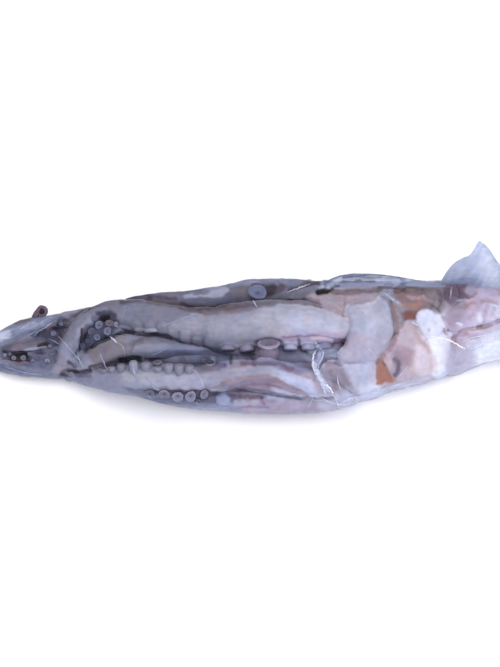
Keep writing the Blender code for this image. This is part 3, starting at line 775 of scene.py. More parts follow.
    "rustSpot": ("brown", 1.3, 0.7, 0, ((383, 362.5), (385, 364.5))),
    "headLine": ("sand", 1.8, 0.45, 0.5, ((390, 302), (398, 308), (404, 316), (402, 324), (398, 331))),
    "headSpotLeft": ("bark", 2.4, 0.6, 0.4, ((396, 291), (404, 290.5))),
    "headSpotMiddle": ("brown", 2.2, 0.5, 0.4, ((411, 288.5), (418, 291), (424, 289))),
    "headSpotRight": ("umber", 2.2, 0.5, 0.4, ((439, 292), (441, 296), (441, 301))),
    "headPaleFold": ("heather", 1.8, 0.5, -0.4, ((408, 296.5), (415, 298.5), (423, 297), (431, 301))),
    "headRust": ("clay", 2.6, 0.5, 0.3, ((404, 305), (412, 306), (419, 304))),
    "headDarkLine": ("brown", 2.2, 0.3, 0.4, ((422, 288), (428, 298), (432, 306))),
    # painted shade along the crease on the eye lobe
    "eyeCreaseShadeLine": ("plum", 2.0, 0.7, 0.8, ((395, 359), (399, 364), (397.5, 371), (395, 376))),
    "eyeStreak": ("pearl", 1.4, 0.6, 0, ((387, 352), (391, 361), (394, 371))),
    "eyeFold": ("rose", 2.4, 0.4, 0.4, ((386, 352), (396, 346), (404, 352), (410, 352))),
    "eyeSpot": ("lilac", 2.2, 0.7, 0.4, ((403, 376), (406, 378))),
    "eyeEdge": ("clay", 3.8, 0.25, 0.5, ((416, 328), (421, 338), (428, 347), (433, 360), (434, 370))),
    "paleSucker": ("#8d95b6", 5.4, 3.0, -1.2, ((222.8, 399.2), (223.8, 400.6))),
    "lowPinkLump": ("pewter", 4.2, 0.8, -0.8, ((237, 404), (242, 403))),
    "lowPinkLumpRight": ("pewter", 3.8, 0.7, -0.6, ((254, 402.5), (258, 402))),
    "lowPinkRight": ("wine", 2.6, 0.5, 0, ((262, 402), (273, 401))),
    "lowPinkBetween": ("rose", 1.6, 0.5, 0.3, ((247.5, 398), (248, 404))),
    "lowPinkGap": ("wine", 1.3, 0.7, 0.5, ((231, 398), (240, 396.5), (252, 397), (262, 400), (264, 404))),
    "blockLeft": ("mist", 3.2, 0.9, -0.8, ((287, 344.5), (295, 344.5))),
    "blockRight": ("cloud", 3.2, 0.85, -0.6, ((304, 344.5), (313, 345))),
    # painted shade in the nook by the arm's end
    "nookShade": ("dusk", 2.6, 0.5, 0.5, ((319, 344), (326, 347), (336, 346), (343, 343))),
    "crumplePale": ("#b0b4d2", 5.0, 0.9, 0, ((315, 347), (318, 355), (320, 366))),
    "nookLobe": ("pearl", 1.8, 0.7, -0.3, ((325, 340), (332, 341.5))),
    "siphonPit": ("heather", 1.9, 0.7, 0.9, ((428.7, 330),)),
    "siphonShade": ("sky", 2.2, 0.5, 0, ((436, 324), (442, 330), (438, 336))),
    "siphonNeck": ("frost", 4.0, 0.5, 0, ((430, 342), (446, 344))),
    "siphonRim": ("rose", 2.0, 0.4, 0.8, ((444, 317), (448, 325), (447, 334), (455, 341), (456, 351))),
    "siphonDot": ("rose", 1.6, 0.8, 0.4, ((444.5, 330), (446, 333))),
    "mantleGap": ("brown", 1.5, 0.8, 0.8, ((446, 285), (447.5, 291), (448.5, 298))),
    "mantleTop": ("umber", 1.6, 0.8, 0.4, ((447, 283), (458, 279.5), (472, 279.5), (481, 283))),
    "mantleWhite": ("cloud", 1.6, 0.8, -0.4, ((457, 323), (461, 325))),
    "mantleStripes": ("umber", 1.2, 0.6, 0.3, ((456, 284), (460, 292), (458, 301))),
    "mantleLeaf": ("sky", 1.4, 0.5, -0.3, ((458, 300.5), (464, 299.5), (468, 301))),
    "mantleShade": ("taupe", 3.2, 0.6, 0, ((451, 306), (458, 305.5), (466, 306))),
    "mantlePleat": ("clay", 1.6, 0.4, 0.9, ((464, 308), (469, 302.5), (476, 303))),
    "mantlePleatLow": ("rose", 2.2, 0.4, 0.7, ((478, 306), (476, 313), (469, 316))),
    "mantlePleatRight": ("clay", 1.8, 0.4, 1.0, ((482, 301), (488, 299.5), (497, 303))),
    "mantlePleatDown": ("rose", 2.0, 0.45, 0.9, ((489, 306), (485, 314), (484, 322))),
    "mantlePleatFar": ("rose", 2.4, 0.4, 0.8, ((494, 308), (492, 315), (498, 319))),
    "mantleBlue": ("cloud", 2.6, 0.85, -0.4, ((479, 314), (480, 320))),
    # the crease across the mantle: brown skin with painted shade in the fold
    "mantleCrease": ("sand", 1.8, 0.5, 1.0, ((454, 337), (462, 330.5), (474, 328.5), (488, 325.5),
        (503, 319))),
    "mantleCreaseShade": ("wine", 3.0, 0.6, 0.6, ((454, 341), (457, 335), (466, 333.5))),
    "mantleLowTop": ("rose", 3.0, 0.35, 0, ((482, 330), (492, 328), (500, 324))),
    "mantleCreaseEnd": ("sand", 2.2, 0.6, 0.4, ((478, 328), (491, 325))),
    "mantleShadeLow": ("rose", 4.0, 0.35, 0.3, ((456, 346), (466, 338), (480, 335))),
    "mantleOrange": ("clay", 2.0, 0.4, 0, ((497, 288), (500, 294))),
    "mantleLowLine": ("rose", 1.3, 0.5, 0.4, ((452, 342), (453, 350))),
    "tipPale": ("pewter", 0.9, 0.8, 0, ((25, 350), (34, 348.8), (45, 346.4))),
    "tipOrange": ("sand", 1.6, 0.8, 0.3, ((46, 328.5), (50, 327), (54, 325.5))),
    "tipRing": ("steel", 1.6, 0.8, 0, ((54, 332.5), (56, 334))),
    "tipCorner": ("slate", 3.0, 0.6, 0, ((4, 346), (10, 346))),
    # painted highlight: the pale gloss of the film at the tip, laid on the flesh
    "tipFilmHighlight": ("cloud", 4.5, 0.7, 0, ((0, 336), (7, 333.5))),
    "tipEdge": ("slate", 2.6, 0.9, 0, ((0, 366.5), (10, 368.5), (22, 371.5))),
    "tipDim": ("coal", 1.4, 0.75, 0.3, ((36, 353), (40, 352), (44, 352))),
    "tipBlackLeft": ("ink", 1.7, 0.9, 0.8, ((3, 350), (6, 352))),
    "tipBlack": ("pitch", 2.4, 1.4, 1.0, ((16, 355), (22, 353.5), (26, 355.5))),
    "tipBlackMiddle": ("pitch", 2.4, 1.1, 1.0, ((40, 346.5), (44, 344), (48, 344.5))),
    "tipBlackRight": ("coal", 1.8, 0.7, 1.0, ((57, 330), (60, 336))),
    "tipOutline": ("sand", 1.1, 0.7, 0.4, ((0, 358), (6, 361.5), (14, 362.6), (28, 362.5))),
    "tipUpper": ("brown", 1.8, 0.6, 0.5, ((46, 322), (52, 328), (46, 334))),
    "lowerLeftInk": ("ink", 1.6, 0.8, 0.8, ((61, 375), (66, 376))),
}
scallops = {  # suckers along the upper arm's front edge, seen from the side as soft bumps
    "middles": ((136.5, 327), (150, 327.5), (162, 328.5), (173, 331.5), (185, 337), (197, 340), (209, 342.5)),
    "arm": "armUpper", "width": 6.4, "tall": 1.15, "height": 1.0,
    "tone": "pearl", "toneShare": 0.3, "seen": (-0.35, 0.1),
    "gap": ("slate", 1.1, 0.35, 0.4),  # painted shade between two of them: tone, reach, strength and depth
}
suckerSpots = {  # middle, rim radius, lean away from the camera, which way it leans, rim tone
    "cluster": (((99.1, 324.8), 4.2, 22, -10, "steel"), ((91.4, 331.2), 3.6, 25, -40, "slate"),
        ((107.6, 331.2), 4.1, 15, 30, "steel"), ((97.2, 337.5), 3.3, 10, 180, "dim"),
        ((109.6, 323.2), 4.3, 48, 0, "fawn"), ((94.5, 318.5), 2.5, 40, -30, "steel"),
        ((116.4, 324.6), 3.2, 60, 80, "grey"), ((82.8, 346), 2.8, 25, 200, "slate"),
        ((88, 341), 2.4, 30, 220, "slate")),
    "tip": (((14, 358), 2.3, 15, 0, "ash"), ((23.5, 358), 2.7, 15, 0, "ash"),
        ((30, 354), 2.2, 30, 40, "steel"), ((47.5, 361), 2.5, 10, 0, "grey"),
        ((56, 321), 2.6, 30, 0, "slate"), ((53.5, 333.5), 2.6, 20, 30, "steel"),
        ((61, 323.5), 2.3, 25, 60, "steel"), ((5, 355), 1.8, 20, 0, "grey"),
        ((37, 358), 1.8, 20, 0, "steel"), ((71.6, 374), 2.2, 15, 0, "ash"),
        ((78, 375.5), 1.9, 15, 0, "steel"), ((43.8, 365), 1.6, 20, 0, "steel"),
        ((60.5, 320), 2.2, 30, 30, "slate"), ((33, 361), 1.8, 20, 0, "ash"),
        ((10, 354), 1.6, 20, 0, "steel"), ((52, 355), 1.9, 20, 0, "steel"),
        ((50, 346), 1.8, 25, 0, "steel")),
    "front": (((150, 394), 5.0, 38, 185, "steel"), ((164.5, 394), 5.2, 34, 180, "ash"),
        ((178, 396.3), 5.8, 36, 182, "grey"), ((190.8, 396), 5.7, 32, 178, "grey"),
        ((204.3, 394), 4.4, 30, 120, "ash"), ((198.5, 401.5), 2.8, 45, 40, "ash")),
    "eye": (((257.5, 292.5), 9.2, 38, 0, "dim"),),
    "ring": (((268.5, 344), 11.3, 65, 0, "#91889f"),),
    # the second rim is slate, darkened with painted shade as it sits in the dark band
    "blocks": (((157.5, 362.5), 5.0, 66, 0, "grey"), ((208.5, 362.3), 5.2, 64, 0, "slate")),
}
# in rim radii the length of the stalk, 1 where it isn't given, and how far the rim stands out;
# then how much painted shade darkens the dish and pit, 1 where it isn't given
suckerStalk = {"eye": 0.6, "ring": 1.6}
suckerProud = {"ring": 0.75, "blocks": 0.7, "eye": 0.3, "front": 1.1}
suckerDish = {"eye": 0.0, "front": 0.32, "blocks": 0.6, "cluster": 0.2, "tip": 0.3, "ring": 0.25}
pegs = {  # suckers lying on their sides: foot, top, radius and tone
    "profile": ((0.05, -1.4), (0.7, -1.3), (0.95, -0.9), (1.0, -0.3), (0.98, 0.3), (1.0, 0.65), (1.0, 0.86),
                (0.92, 1.0), (0.72, 1.08), (0.4, 1.12), (0.05, 1.12)),  # radius and place along it
    "sides": 24, "lift": 1.5,
    "sinkAt": (-1.4, -0.3, 0.4, 1.1), "sink": (2.2, 1.35, 1.1, 0.9),  # in radii
    "shadeAt": (-0.9, 0.3, 0.9, 1.12), "shade": (1.0, 1.0, 1.05, 0.8),
    "spots": (((104.5, 375), (104, 369), 4.0, "stone"), ((112.5, 374), (112, 367), 4.2, "stone"),
              ((121.5, 374), (121, 364.5), 4.3, "stone"), ((134.5, 376), (133, 362), 4.3, "grey"),
              ((146, 373), (145.5, 363), 5.0, "ash"), ((158, 374), (158, 367), 5.0, "ash"),
              ((169, 376), (169, 364.5), 4.8, "ash"), ((179.5, 378), (179, 365), 4.8, "ash"),
              ((189.5, 376), (189, 366), 4.8, "stone"), ((228, 343), (228, 350.5), 7.5, "#77748b"),
              ((246, 343), (247.5, 352), 8.0, "#85819a"), ((290.5, 342), (290.5, 350), 7.0, "#9897b4"),
              ((308.5, 342), (308.5, 350), 6.5, "#9694b1"), ((325, 341), (325, 349), 7.5, "#7f7994"),
              ((337, 343), (337, 350), 6.0, "#827b95")),
}
baseTone = {
    "left": "ash", "middle": "pewter", "right": "cloud", "stops": (0, 0.45, 0.85),
    "underneath": "taupe", "underDepth": 0.5, "underGrain": 24,
    "clouds": 0.035, "streakRun": (0.16, 1, 1),  # streaks run along the arms
    "warmth": 0.022, "warmWay": (0.9, 0.15, -0.5),  # brownish against bluish
}
speckleSpots = {  # where pigment cells show: middle, reach, strength
    "tanWeb": ((344, 302), 30, 0.5), "middleArm": ((112, 349), 9, 0.3),
    "headSide": ((412, 300), 22, 0.5), "upperArmEnd": ((335, 312), 12, 0.3),
}
paint = {
    "wander": 0.9,  # pixels by which the edges of patches and hazes wander
    "seen": (-0.1, 0.2), "steep": (-0.7, -0.2),  # how far a surface has to face the camera
    "markSpread": (1.5, 0.4), "hazeSpread": (1.4, 0.6),  # in reaches, from nothing to full
    "markShare": 0.9, "markUneven": 0.3, "markGrain": 6,
    "hollowShadeTone": "navy", "hollowShadeReach": 1.2, "hollowShadeStrength": 0.8,  # painted shade in the hollow round a sucker
    "speckleSpread": (1.2, 0.5), "speckleSquash": (1, 1.7),
}


def toneOf(name):  # a name from the table, or a hex of its own
    return plainColor(tones.get(name, name))


def scallopMarks():  # painted shade in the gaps between the bumps
    found = {}
    for order, (a, b) in enumerate(zip(scallops["middles"], scallops["middles"][1:])):
        x, y = (a[0] + b[0]) / 2, (a[1] + b[1]) / 2
        found["scallopGap" + str(order)] = (*scallops["gap"], ((x, y - 2), (x + 0.6, y + 6)))
    return found


def hollowShadeMarks():  # painted shade in the hollow round each sucker
    found = {}
    for group in ("cluster", "tip", "front"):
        for order, (middle, radius, _, _, _) in enumerate(suckerSpots[group]):
            found[group + str(order)] = (paint["hollowShadeTone"], radius * paint["hollowShadeReach"],
                                         paint["hollowShadeStrength"], 0, (middle,))
    return found


def nearBox(spots, outline, margin):
    low, high = np.min(outline, axis=0) - margin, np.max(outline, axis=0) + margin
    return np.all((spots > low) & (spots < high), axis=1)


def lineFall(spots, route, reach, spread):  # 1 along a line, 0 beyond its reach
    smooth = curveAt(route, np.linspace(0, 1, 4 * len(route))) if len(route) > 1 else route
    return smoothStep(spread[0] * reach, spread[1] * reach, distanceTo(spots, smooth))


def bareTone(points, spots, seen):  # from left to right, duller underneath
    along = spots[:, 0] / camera["pixels"][0]
    ends = [toneOf(baseTone[key]) for key in ("left", "middle", "right")]
    ramp = np.stack([np.interp(along, baseTone["stops"], channel) for channel in zip(*ends)], 1)
    patchy = smoothStep(-0.2, 0.5, lumps(points, baseTone["underGrain"], 8))
    return blended(ramp, toneOf(baseTone["underneath"]), baseTone["underDepth"] * patchy * (1 - seen))


def paintPatches(color, spots, seen):
    for tone, soft, strength, outline in patches.values():
        near = nearBox(spots, outline, 2 * soft)
        if near.any():
            inside = depthInside(spots[near], closedCurve(outline, 4 * len(outline)))
            share = strength * smoothStep(-soft, soft, inside) * seen[near]
            color[near] = blended(color[near], toneOf(tone), share)


def paintMarks(color, push, points, spots, steep):
    for tone, reach, strength, depth, route in {**hollowShadeMarks(), **scallopMarks(), **marks}.values():
        near = nearBox(spots, route, 2 * reach)
        if near.any():
            fall = lineFall(spots[near], route, reach, paint["markSpread"]) * steep[near]
            uneven = paint["markShare"] + paint["markUneven"] * lumps(points[near], paint["markGrain"], 7)
            color[near] = blended(color[near], toneOf(tone), np.clip(strength * fall * uneven, 0, 1))
            push[near] -= depth * fall


def raiseScallops(color, push, spots, facing):
    wide = scallops["width"]
    for middle in scallops["middles"]:
        near = nearBox(spots, (middle,), 2 * wide)
        away = (spots[near] - middle) / (wide, scallops["tall"] * wide)
        bump = np.clip(1 - (away**2).sum(1), 0, 1) ** 0.7 * smoothStep(*scallops["seen"], facing[near])
        push[near] += scallops["height"] * bump
        color[near] = blended(color[near], toneOf(scallops["tone"]), scallops["toneShare"] * bump)


def cloudedTone(color, points, streaks):  # light and warmth that drift over the flesh
    clouds = 1 + baseTone["clouds"] * (lumps(points, 13, 21) + 0.7 * lumps(points, 5, 22))
    clouds += streaks * lumps(points * baseTone["streakRun"], 3.4, 24)
    warmth = baseTone["warmth"] * lumps(points, 15, 25)
    return color * clouds[:, None] + warmth[:, None] * baseTone["warmWay"]


def speckleShare(spots, seen):
    speckle = np.zeros(len(spots))
    for middle, reach, strength in speckleSpots.values():
        away = np.linalg.norm((spots - middle) * paint["speckleSquash"], axis=1) / reach
        speckle = np.maximum(speckle, strength * smoothStep(*paint["speckleSpread"], away) * seen)
    return speckle


def foldRelief(points, look, seed):  # slack folds, and fine wrinkles along the arms
    push = look["foldDepth"] * lumps(points, look["foldSize"], seed)
    push += 0.5 * look["foldDepth"] * lumps(points, look["foldSize"] / 2, seed + 1)
    return push + look["wrinkleDepth"] * lumps(points * (1, 0.55, 0.55), look["wrinkleSize"], seed + 2)


def sculptAndPaint(mesh, look, seed):
    points, normals = pointsOf(mesh), normalsOf(mesh)
    push = foldRelief(points, look, seed)
    spots = inPicture(points) + paint["wander"] * (jitter(points, 6, 3) + 0.5 * jitter(points, 2.4, 5))
    facing = normals @ toCamera
    seen, steep = smoothStep(*paint["seen"], facing), smoothStep(*paint["steep"], facing)
    color = bareTone(points, spots, seen)
    paintPatches(color, spots, seen)
    paintMarks(color, push, points, spots, steep)
    if look["scalloped"]:
        raiseScallops(color, push, spots, facing)
    writeTone(mesh, cloudedTone(color, points, look["streaks"]), pigmentGain)
    writeMask(mesh, "speckle", speckleShare(spots, seen))
    points += normals * push[:, None]
    points[:, 2] = np.maximum(points[:, 2], look["seat"])
    movePoints(mesh, points)


# arms

arms = {  # x, y, z and radius along each
    "armUpper": ((101, 3, 38, 8.5), (92, 8, 41.5, 15.5), (74, 12, 43.5, 20.5), (50, 16, 42.6, 23.2),
        (12, 16.3, 43, 23), (-28, 14, 40.7, 21.9), (-46, 17, 40.5, 17.6), (-65, 18, 40.3, 17),
        (-95, 27.5, 35.5, 15.7), (-123, 34, 30.8, 15.5), (-147, 35.4, 29.5, 11.9), (-167, 25, 27, 10.5),
        (-179, 5, 24, 9.5), (-186, -11, 18, 8.5), (-192, -20, 11, 5)),
    "armMiddle": ((94, -16, 23, 7), (74, -13, 25.5, 10.7), (8, -9.5, 23.5, 12.3), (-30, -4.5, 22, 11.5),
        (-69, 0.5, 24, 12), (-104, -5, 30, 12.5), (-132, -6.5, 32, 14.4), (-153, -14, 26.5, 11.5),
        (-169, -23, 17, 8), (-180, -25, 10, 5)),
    "armLower": ((96, -60, 30, 6), (78, -54, 36, 9.5), (49, -46, 41, 13), (18, -40, 43, 14),
        (-15, -41, 42, 14), (-49, -44, 38, 15), (-88, -44, 34, 14.5), (-123, -39, 28, 13.5),
        (-151, -32, 20, 10.5), (-174, -26, 12, 5)),
    "armFront": ((99, -54, 20, 8), (69, -59, 21, 10), (39, -58, 21, 12), (5, -57, 21, 13),
        (-30, -54, 20, 12.5), (-59, -51, 18, 11.5), (-89, -46, 16, 9.5), (-114, -39, 13, 7.5),
        (-142, -32, 9, 5)),
    "armBack": ((147, 60, 33, 11), (111, 59, 34, 11), (70, 58, 35, 11.5), (40, 58, 36, 12.5),
        (5, 56.5, 37, 13.3), (-28, 51.5, 35, 12.3), (-61, 48, 33, 11), (-91, 47.5, 31, 10.2),
        (-118, 46.5, 29, 8), (-140, 43, 25, 5)),
    "armRear": ((70, 70, 20, 7), (51, 72, 20, 9), (20, 70, 22, 10), (-10, 66, 22, 10), (-41, 60, 22, 9),
        (-71, 56, 22, 8), (-102, 54, 20, 7.5), (-132, 50, 18, 7), (-160, 43, 14, 5)),
    "armSlim": ((94, -62, 27, 4), (78, -60, 30, 5), (54, -55, 35, 8), (24, -50, 37, 9), (-5, -47, 38, 7.5),
        (-25, -46, 36, 4.5)),
    "armTucked": ((-122, 21, 28, 8), (-139, 20, 28, 9.5), (-155, 11, 25, 9), (-166, -2, 19, 7)),
    "tipBack": ((-126, 46, 22, 4.5), (-150, 43, 22, 7.3), (-177, 35, 22, 8), (-200, 32, 19, 7.5),
        (-222, 31, 16, 7), (-241, 26, 13, 6), (-256, 17, 10, 5), (-270, 5, 6, 3)),
    "tipMiddle": ((-181, 13, 22, 6), (-201, 7, 20, 5.5), (-223, 5, 17, 5.5), (-243, 2, 13, 4.5),
        (-259, -3, 9, 3.5)),
    "tipFront": ((-175, -18, 13, 7.8), (-195, -18.5, 13, 8.3), (-220, -16.5, 12, 7.8),
        (-241, -12.5, 9.3, 6.8), (-259, -8, 7, 4.6), (-272, -2, 5, 2.5)),
}
armSurface = {
    "ringStep": 1.1, "sideStep": 1.2, "squareness": 2.3,  # 2 is round, more is flatter on top
    "foldSize": 13, "foldDepth": 0.6,  # slack folds of the skin
    "wrinkleSize": 3.2, "wrinkleDepth": 0.1, "streaks": 0.04,
    "seat": 0.9,  # lowest point, on the film over the floor
    "scalloped": False,
}
fleshMeshes = []  # what the film is drawn over


def armFrames(route, places):
    spot = curveAt(route, places)
    ahead = unit(curveAt(route, places + 0.004)[:, :3] - curveAt(route, places - 0.004)[:, :3])
    back = unit(np.cross((0, 0, 1), ahead))
    if back[0, 1] < 0:
        back = -back
    up = np.cross(ahead, back)
    if up[len(up) // 2, 2] < 0:
        up = -up
    return spot[:, :3], spot[:, 3], ahead, up, back


def placeAtX(route, x):  # where a route first comes to x
    places = np.linspace(0, 1, 800)
    return places[np.argmin(np.abs(curveAt(route, places)[:, 0] - x))]


def sweptPoints(route, ringStep, sides, squareness=2.0):  # a tube with rounded ends
    route = np.asarray(route, float)
    length = np.linalg.norm(np.diff(route[:, :3], axis=0), axis=1).sum()
    count = max(int(length / ringStep), 4)
    caps = np.linspace(math.pi / 2, 0, 8)[:-1]
    level = np.zeros(len(caps))
    places = np.concatenate([level, np.linspace(0, 1, count), level + 1])
    push = np.concatenate([-np.sin(caps), np.zeros(count), np.sin(caps[::-1])])
    share = np.concatenate([np.cos(caps), np.ones(count), np.cos(caps[::-1])])
    share = np.maximum(share, 0.02)  # the very end stays open enough to close with a face
    middle, radius, ahead, up, back = armFrames(route, places)
    rise, side = squareWaves(fullTurn(sides), 2 / squareness)
    spokes = up[:, None] * rise[None, :, None] + back[:, None] * side[None, :, None]
    points = ((middle + ahead * (push * radius)[:, None])[:, None]
              + spokes * (radius * share)[:, None, None])
    return points.reshape(-1, 3), len(places)


def keepFlesh(name, mesh, material):
    keepPiece(addObject(name, mesh, material))
    fleshMeshes.append(mesh)


def makeArm(name, route, seed):
    thickest = max(stop[3] for stop in route)
    sides = int(np.clip(2 * math.pi * thickest / armSurface["sideStep"], 40, 112))
    points, rows = sweptPoints(route, armSurface["ringStep"], sides, armSurface["squareness"])
    mesh = meshOf(name, points, closedFaces(rows, sides))
    sculptAndPaint(mesh, {**armSurface, "scalloped": name == scallops["arm"]}, seed)
    keepFlesh(name, mesh, fleshMaterial)


for order, (name, route) in enumerate(arms.items()):
    makeArm(name, route, 10 * order)
print("arms made")

# web, head, siphon and mantle: flat pads of flesh pressed against each other

crown = (  # the bag's shape over them: x, middle y, half width, height
    (50, 2, 72, 62), (102, 8, 68, 60), (153, 16, 61, 54), (193, 24, 54, 55), (224, 29, 47, 55),
    (254, 30.5, 39.5, 50), (285, 28, 29, 37), (303, 29, 17, 20), (313, 30, 8, 9),
)
crownPower = 2.4
pads = {  # outline in the picture, lift over the crown, radius of the rim
    "webBack": (((304, 298), (326, 288), (350, 284), (384, 285), (392, 296), (384, 314), (362, 326),
        (342, 328), (318, 312)), -3.5, 9),
    "webUpper": (((344, 312), (352, 306), (366, 303), (378, 296), (388, 293), (394, 312), (397, 328),
        (392, 342), (384, 353), (377, 365), (356, 368), (340, 366), (337, 355), (343, 345), (349, 332),
        (347, 322)), -1.0, 8),
    "webLower": (((330, 361), (352, 360), (376, 361), (379, 376), (390, 388), (372, 397), (345, 404),
        (325, 407), (312, 402), (314, 382), (320, 368)), -2.0, 9),
    "head": (((384, 291), (405, 282), (430, 281), (447, 284), (449, 298), (440, 313), (428, 312),
        (418, 320), (416, 332), (400, 341), (386, 324), (385, 304)), -3.5, 8),
    "eyeSide": (((398, 330), (410, 319), (420, 328), (433, 344), (439, 362), (437, 377), (412, 386),
        (388, 391), (368, 390), (368, 366), (380, 350), (390, 340)), -3.0, 8),
    "siphon": (((415, 314), (427, 306), (437, 311), (446, 322), (448, 334), (437, 345), (423, 342),
        (414, 329)), 0.0, 9),
    "siphonBase": (((424, 338), (446, 331), (458, 341), (458, 360), (450, 373), (432, 379), (424, 366),
        (424, 350)), -1.5, 8),
    "mantleFold": (((442, 287), (451, 280), (468, 277), (484, 281), (488, 289), (478, 302), (462, 309),
        (448, 307), (442, 297)), -1.0, 7),
    "mantleBack": (((440, 304), (466, 296), (482, 283), (504, 284), (530, 290), (548, 300), (540, 314),
        (505, 321), (478, 330), (456, 337), (441, 324)), -1.5, 7),
    "mantleFront": (((450, 334), (466, 329), (480, 326), (505, 316), (540, 310), (558, 322), (550, 338),
        (525, 350), (500, 357), (470, 366), (446, 372), (444, 352)), -2.6, 8),
}
padSurface = {
    "around": 190, "rings": 44, "wallRows": 12,
    "lean": 0.62, "deepest": 0.8,  # how the walls draw in under the rim
    "foldSize": 12, "foldDepth": 0.7,
    "wrinkleSize": 3.5, "wrinkleDepth": 0.12, "streaks": 0.0, "seat": 0.9, "foot": 12,
    "scalloped": False,
    "calm": {"siphon": 0.35, "siphonBase": 0.5, "webUpper": 0.6, "eyeSide": 0.8},  # drawn smooth
}


def crownHeight(x, y):
    xs = [station[0] for station in crown]
    middle, half, height = (np.interp(x, xs, [station[i] for station in crown]) for i in (1, 2, 3))
    across = np.clip(np.abs((y - middle) / half), 0, 1)
    return height * (1 - across**crownPower) ** (1 / crownPower)


def onCrown(pixel, drop):  # the point under a pixel, this far below the crown
    ray = rayThrough(pixel)
    height = 35.0
    for _ in range(60):  # settles where the ray meets it
        spot = eye + ray * (height - eye[2]) / ray[2]
        height += 0.15 * (max(crownHeight(spot[0], spot[1]) - drop, padSurface["foot"]) - height)
    return spot


def makePad(name, pad, seed):
    outline, lift, rim = pad
    look = {**padSurface, "foldDepth": padSurface["foldDepth"] * padSurface["calm"].get(name, 1)}
    edge = closedCurve([onCrown(pixel, rim - lift)[:2] for pixel in outline], padSurface["around"])
    middle = edge.mean(axis=0)
    share = np.linspace(0.01, 1, padSurface["rings"]) ** 0.7
    flat = (middle + (edge - middle)[None] * share[:, None, None]).reshape(-1, 2)
    inward = rim - np.clip(distanceTo(flat, np.concatenate([edge, edge[:1]])), 0, rim)
    top = crownHeight(flat[:, 0], flat[:, 1]) + lift - rim + np.sqrt(np.maximum(rim**2 - inward**2, 0))
    top = np.maximum(top, padSurface["foot"])
    rows = [np.column_stack([flat, top]).reshape(padSurface["rings"], -1, 3)]
    last = rows[0][-1]
    for down in np.linspace(0, 1, padSurface["wallRows"] + 1)[1:]:
        height = last[:, 2] + (padSurface["seat"] - last[:, 2]) * down
        toward = middle - last[:, :2]
        inset = padSurface["lean"] * (last[:, 2] - height)
        inset = np.minimum(inset, padSurface["deepest"] * np.linalg.norm(toward, axis=1))
        rows.append(np.column_stack([last[:, :2] + unit(toward) * inset[:, None], height])[None])
    points = np.concatenate(rows)
    mesh = meshOf(name, points.reshape(-1, 3), closedFaces(len(points), padSurface["around"]))
    sculptAndPaint(mesh, look, seed)
    keepFlesh(name, mesh, fleshMaterial)


for order, (name, pad) in enumerate(pads.items()):
    makePad(name, pad, 200 + 10 * order)
print("web, head, siphon and mantle made")

# the core of flesh under them

coreStations = (  # x, middle y, half width, height
    (-274, -1, 5, 6), (-253, 4, 16, 14), (-223, 6, 25, 18), (-193, 6, 31, 22), (-152, 5, 40, 24),
    (-101, 2, 50, 26), (-51, -1, 55, 29), (0, 1, 62, 31), (51, 4, 63, 33), (102, 11, 62, 38),
    (153, 20, 53, 38), (193, 23, 46, 38), (224, 26, 40, 38), (254, 27, 34, 36), (285, 28, 27, 29),
    (303, 29, 15, 16), (311, 30, 6, 8),
)


def makeCore():
    rows, sides = 220, 72
    station = curveAt(coreStations, np.linspace(0, 1, rows))
    across, up = squareWaves(fullTurn(sides), 0.8)
    points = np.empty((rows, sides, 3))
    points[..., 0] = station[:, :1]
    points[..., 1] = station[:, 1:2] + station[:, 2:3] * across
    points[..., 2] = station[:, 3:4] / 2 * (1 + up)
    mesh = meshOf("coreFlesh", points.reshape(-1, 3), closedFaces(rows, sides))
    sculptAndPaint(mesh, {**armSurface, "foldDepth": 1.5}, 400)
    keepFlesh("coreFlesh", mesh, fleshMaterial)


makeCore()
print("core made")

# suckers

suckerShape = {
    # rings from the stalk to the pit: radius and height in rim radii, and how much painted shade darkens the
    # dish
    "profile": ((0.62, -1.0, 0.35), (0.62, -0.3, 0.3), (0.72, 0.0, 0.2), (0.92, 0.2, 0), (1.0, 0.34, 0),
                (0.98, 0.44, 0), (0.88, 0.50, 0), (0.76, 0.45, 0.15), (0.62, 0.32, 0.5), (0.44, 0.27, 0.45),
                (0.34, 0.28, 0.35), (0.26, 0.16, 0.8), (0.16, 0.02, 1), (0.02, -0.04, 1)),
    # the pit's colour is painted shade
    "sides": 32, "unevenness": 0.10, "pitShadeTone": "navy",
    "longStalk": 1.5, "wideStalk": 0.88, "stalkDark": 0.1,  # a long stalk is nearly as wide as the rim
    "lobes": 0.035, "ripples": 0.02, "grooves": 12, "grooveDepth": 0.03,
    "sunk": 0.3, "proud": 0.45,  # how far the rim sits in and stands out, in rim radii
}
hiddenRows = (  # round the back: arm, first and last x, number, angle from up, first and last radius
    ("armRear", -130, 60, 15, 112, 2.4, 4.4),
    ("armBack", -90, 110, 13, 96, 2.8, 4.6),
)


def fleshTree():
    return treeOf(*joined([(pointsOf(mesh), facesOf(mesh)) for mesh in fleshMeshes]))


def underPixel(tree, pixel):  # the surface point that shows there, if any
    spot = tree.ray_cast(Vector(eye), Vector(rayThrough(pixel)))[0]
    return None if spot is None else np.array(spot)


